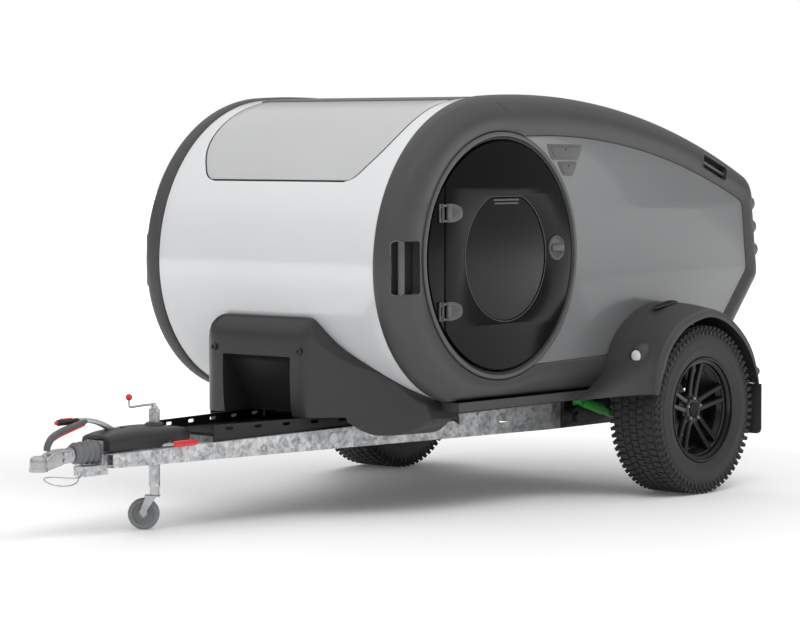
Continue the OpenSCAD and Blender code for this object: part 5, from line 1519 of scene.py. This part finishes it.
clampEnd = turned("clampEnd", [(0, -0.066), (0.0052, -0.066), (0.0052, 0.001), (0.004, 0.002), (0, 0.002)],
                  "plainSteel", (clampX, clampY, 0.372), "X", 20)
assign(join("jockey_clamp", [clampArm, clampGrip, clampEnd]), "trailer", "red_plastic")
print("coupling ready")

# Drawbar cover, tray slats, reflectors and frame bolts
humpRows = curveThrough([(-2.8565, 0.0820, 0.4150), (-2.790, 0.0900, 0.4260), (-2.680, 0.1050, 0.4330),
                         (-2.560, 0.1220, 0.4340), (-2.470, 0.1220, 0.4300), (-2.410, 0.0980, 0.4210),
                         (-2.382, 0.0640, 0.4090)], 48)
hump = []
for x, half, high in humpRows:
    beamTop = 0.352 + 0.0045 * (x + 2.87) / 0.4
    low = beamTop + 0.0005
    shape = [(-half, low), (half, low), (half, high - 0.040), (half * 0.975, high - 0.024),
             (half * 0.90, high - 0.009), (half * 0.74, high - 0.002), (half * 0.4, high), (0, high),
             (-half * 0.4, high), (-half * 0.74, high - 0.002), (-half * 0.90, high - 0.009),
             (-half * 0.975, high - 0.024), (-half, high - 0.040)]
    hump.append([(axleX + x, u, v) for u, v in shape])
humpPiece = loft("hump", hump, "coverBlack", angle=50)
for place, extent in ((flatPut(axleX - 2.711, 0.034, 0.42), (0.096, 0.030, 0.2)),
                      (flatPut(postX, 0, 0.42), (0.058, 0.058, 0.2)),
                      (flatPut(axleX - 2.82, 0, 0.39), (0.34, 0.098, 0.022))):
    carve(humpPiece, ringBlock("slot", extent, "coverBlack", place, 0.006), 50)
boot = turned("boot", [(0.0245, 0.420), (0.042, 0.420), (0.043, 0.434), (0.038, 0.442), (0.030, 0.446),
                       (0.0245, 0.4465)], "coverBlack", (postX, 0, 0), "Z", 48)
assign(join("drawbar_top", [humpPiece, boot]), "trailer", "black_plastic", "drawbar_cover")
slat = ringBlock("slat", (trayHigh.x - trayLow.x - 0.03, 0.010, 0.006), "trayBlack", flatPut(0, 0, 0),
                 0.0015)
slats = repeated("slats", "line", slat, "trayBlack",
                 Matrix.Translation(((trayLow.x + trayHigh.x) / 2, 0, 0.3905)), Count=13,
                 Start=(0, -0.144, 0), Step=(0, 0.024, 0))
assign(slats, "trailer", "black_plastic")
beamShape = dict(rearX=-0.400, rearY=0.420, frontX=-2.870, frontY=0.095, half=0.0255, reflectorX=-1.710)
beamAngle = math.atan2(beamShape["rearY"] - beamShape["frontY"], beamShape["rearX"] - beamShape["frontX"])


def beamFace(x):
    b = beamShape
    return b["rearY"] - (b["rearX"] - x) * math.tan(beamAngle) + b["half"] / math.cos(beamAngle)


disc = turned("reflector", [(0, 0), (0.0252, 0), (0.0252, 0.0035), (0.0235, 0.005), (0.021, 0.0048),
                            (0.0195, 0.0038), (0.004, 0.0042), (0.003, 0.0055), (0, 0.0058)], "whiteLens",
                            (0, 0, 0), side=-1, segments=48)
disc.data.transform(Matrix.Translation((axleX + beamShape["reflectorX"], -beamFace(beamShape["reflectorX"]),
                                        0.335)) @ Matrix.Rotation(-beamAngle, 4, "Z"))
bothSides(disc, "trailer", "white_lens")
flange = []
for x in (-2.10, -1.15, -0.86, -0.52):
    head = turned("bolt", [(0, 0), (0.0105, 0), (0.0105, 0.0015), (0.0085, 0.0018), (0.0085, 0.007),
                           (0.0075, 0.008), (0, 0.008)], "plainSteel", (0, 0, 0), side=-1, segments=6,
                           angle=20)
    head.data.transform(Matrix.Translation((axleX + x, -beamFace(x), 0.385 if x > -1.5 else 0.320))
                        @ Matrix.Rotation(-beamAngle if x < -0.4 else 0, 4, "Z"))
    flange.append(head)
bothSides(join("left_frame_bolts", flange), "trailer", "steel")
print("drawbar ready")

# Floor, sky and lamps
studio = dict(floor=0.9, ground=120, sky=1.0, key=230, fill=90, rimLight=150)
bpy.context.scene.view_settings.view_transform = "Standard"
bpy.ops.mesh.primitive_plane_add(size=studio["ground"], location=(0, 0, 0))
ground = bpy.context.object
ground.name = "studio_floor"
pale = Finish("studioFloor", Roughness=0.55)
pale.put("Base Color", pale.blendColours(pale.noise(0.3), (studio["floor"],) * 3,
                                         (studio["floor"] * 1.01,) * 3))
# Painted light: the floor glows faintly within about 3 m of its middle, which lightens the shadow under the
# trailer, and fully from about 8.5 m out, so that it fades to white
reach = pale.wire(pale.add("ShaderNodeVectorMath", {"operation": "LENGTH"}, {0: pale.place}), "Value")
glow = pale.curve(reach / 10.0, (0.30, 0.06), (0.85, 1.0))
pale.put("Emission Color", glow)
pale.put("Emission Strength", 0.9)
ground.data.materials.append(pale.material)

world = bpy.data.worlds.new("studio")
bpy.context.scene.world = world
world.use_nodes = True
air = Graph(world.node_tree)
direction = air.add("ShaderNodeTexCoord")
height = air.wire(air.add("ShaderNodeSeparateXYZ", None, {0: direction.outputs["Generated"]}), "Z")
band = air.wire(air.add("ShaderNodeValToRGB",
                        {"stops": ((0.0, 0.30), (0.40, 0.42), (0.56, 0.80), (1.0, 0.95))},
                        {"Fac": height * 0.9 + 0.1}), "Color")
seen = air.wire(air.add("ShaderNodeLightPath"), "Is Camera Ray")
colour = air.add("ShaderNodeMix", {"data_type": "RGBA"}, {0: seen, 6: band, 7: (1, 1, 1, 1)})
light = air.add("ShaderNodeBackground", None, {"Color": colour.outputs[2], "Strength": studio["sky"]})
air.add("ShaderNodeOutputWorld", None, {"Surface": light.outputs[0]})


def softLamp(name, place, aim, size, power):
    lamp = bpy.data.objects.new(name, bpy.data.lights.new(name, "AREA"))
    lamp.data.shape = "RECTANGLE"
    lamp.data.size, lamp.data.size_y = size
    lamp.data.energy = power
    lamp.location = place
    lamp.rotation_euler = (Vector(aim) - Vector(place)).to_track_quat("-Z", "Y").to_euler()
    lamp.visible_glossy = False
    bpy.context.scene.collection.objects.link(lamp)


softLamp("key", (-1.5, -4.5, 6.5), (0, 0, 0.8), (5, 3), studio["key"])
softLamp("front", (-7.5, 0.5, 4.2), (0, 0, 0.9), (4, 3), studio["fill"])
softLamp("back", (4.5, 4.5, 5.0), (0, 0, 1.0), (4, 3), studio["rimLight"])
print("stage ready")

bpy.context.view_layer.update()
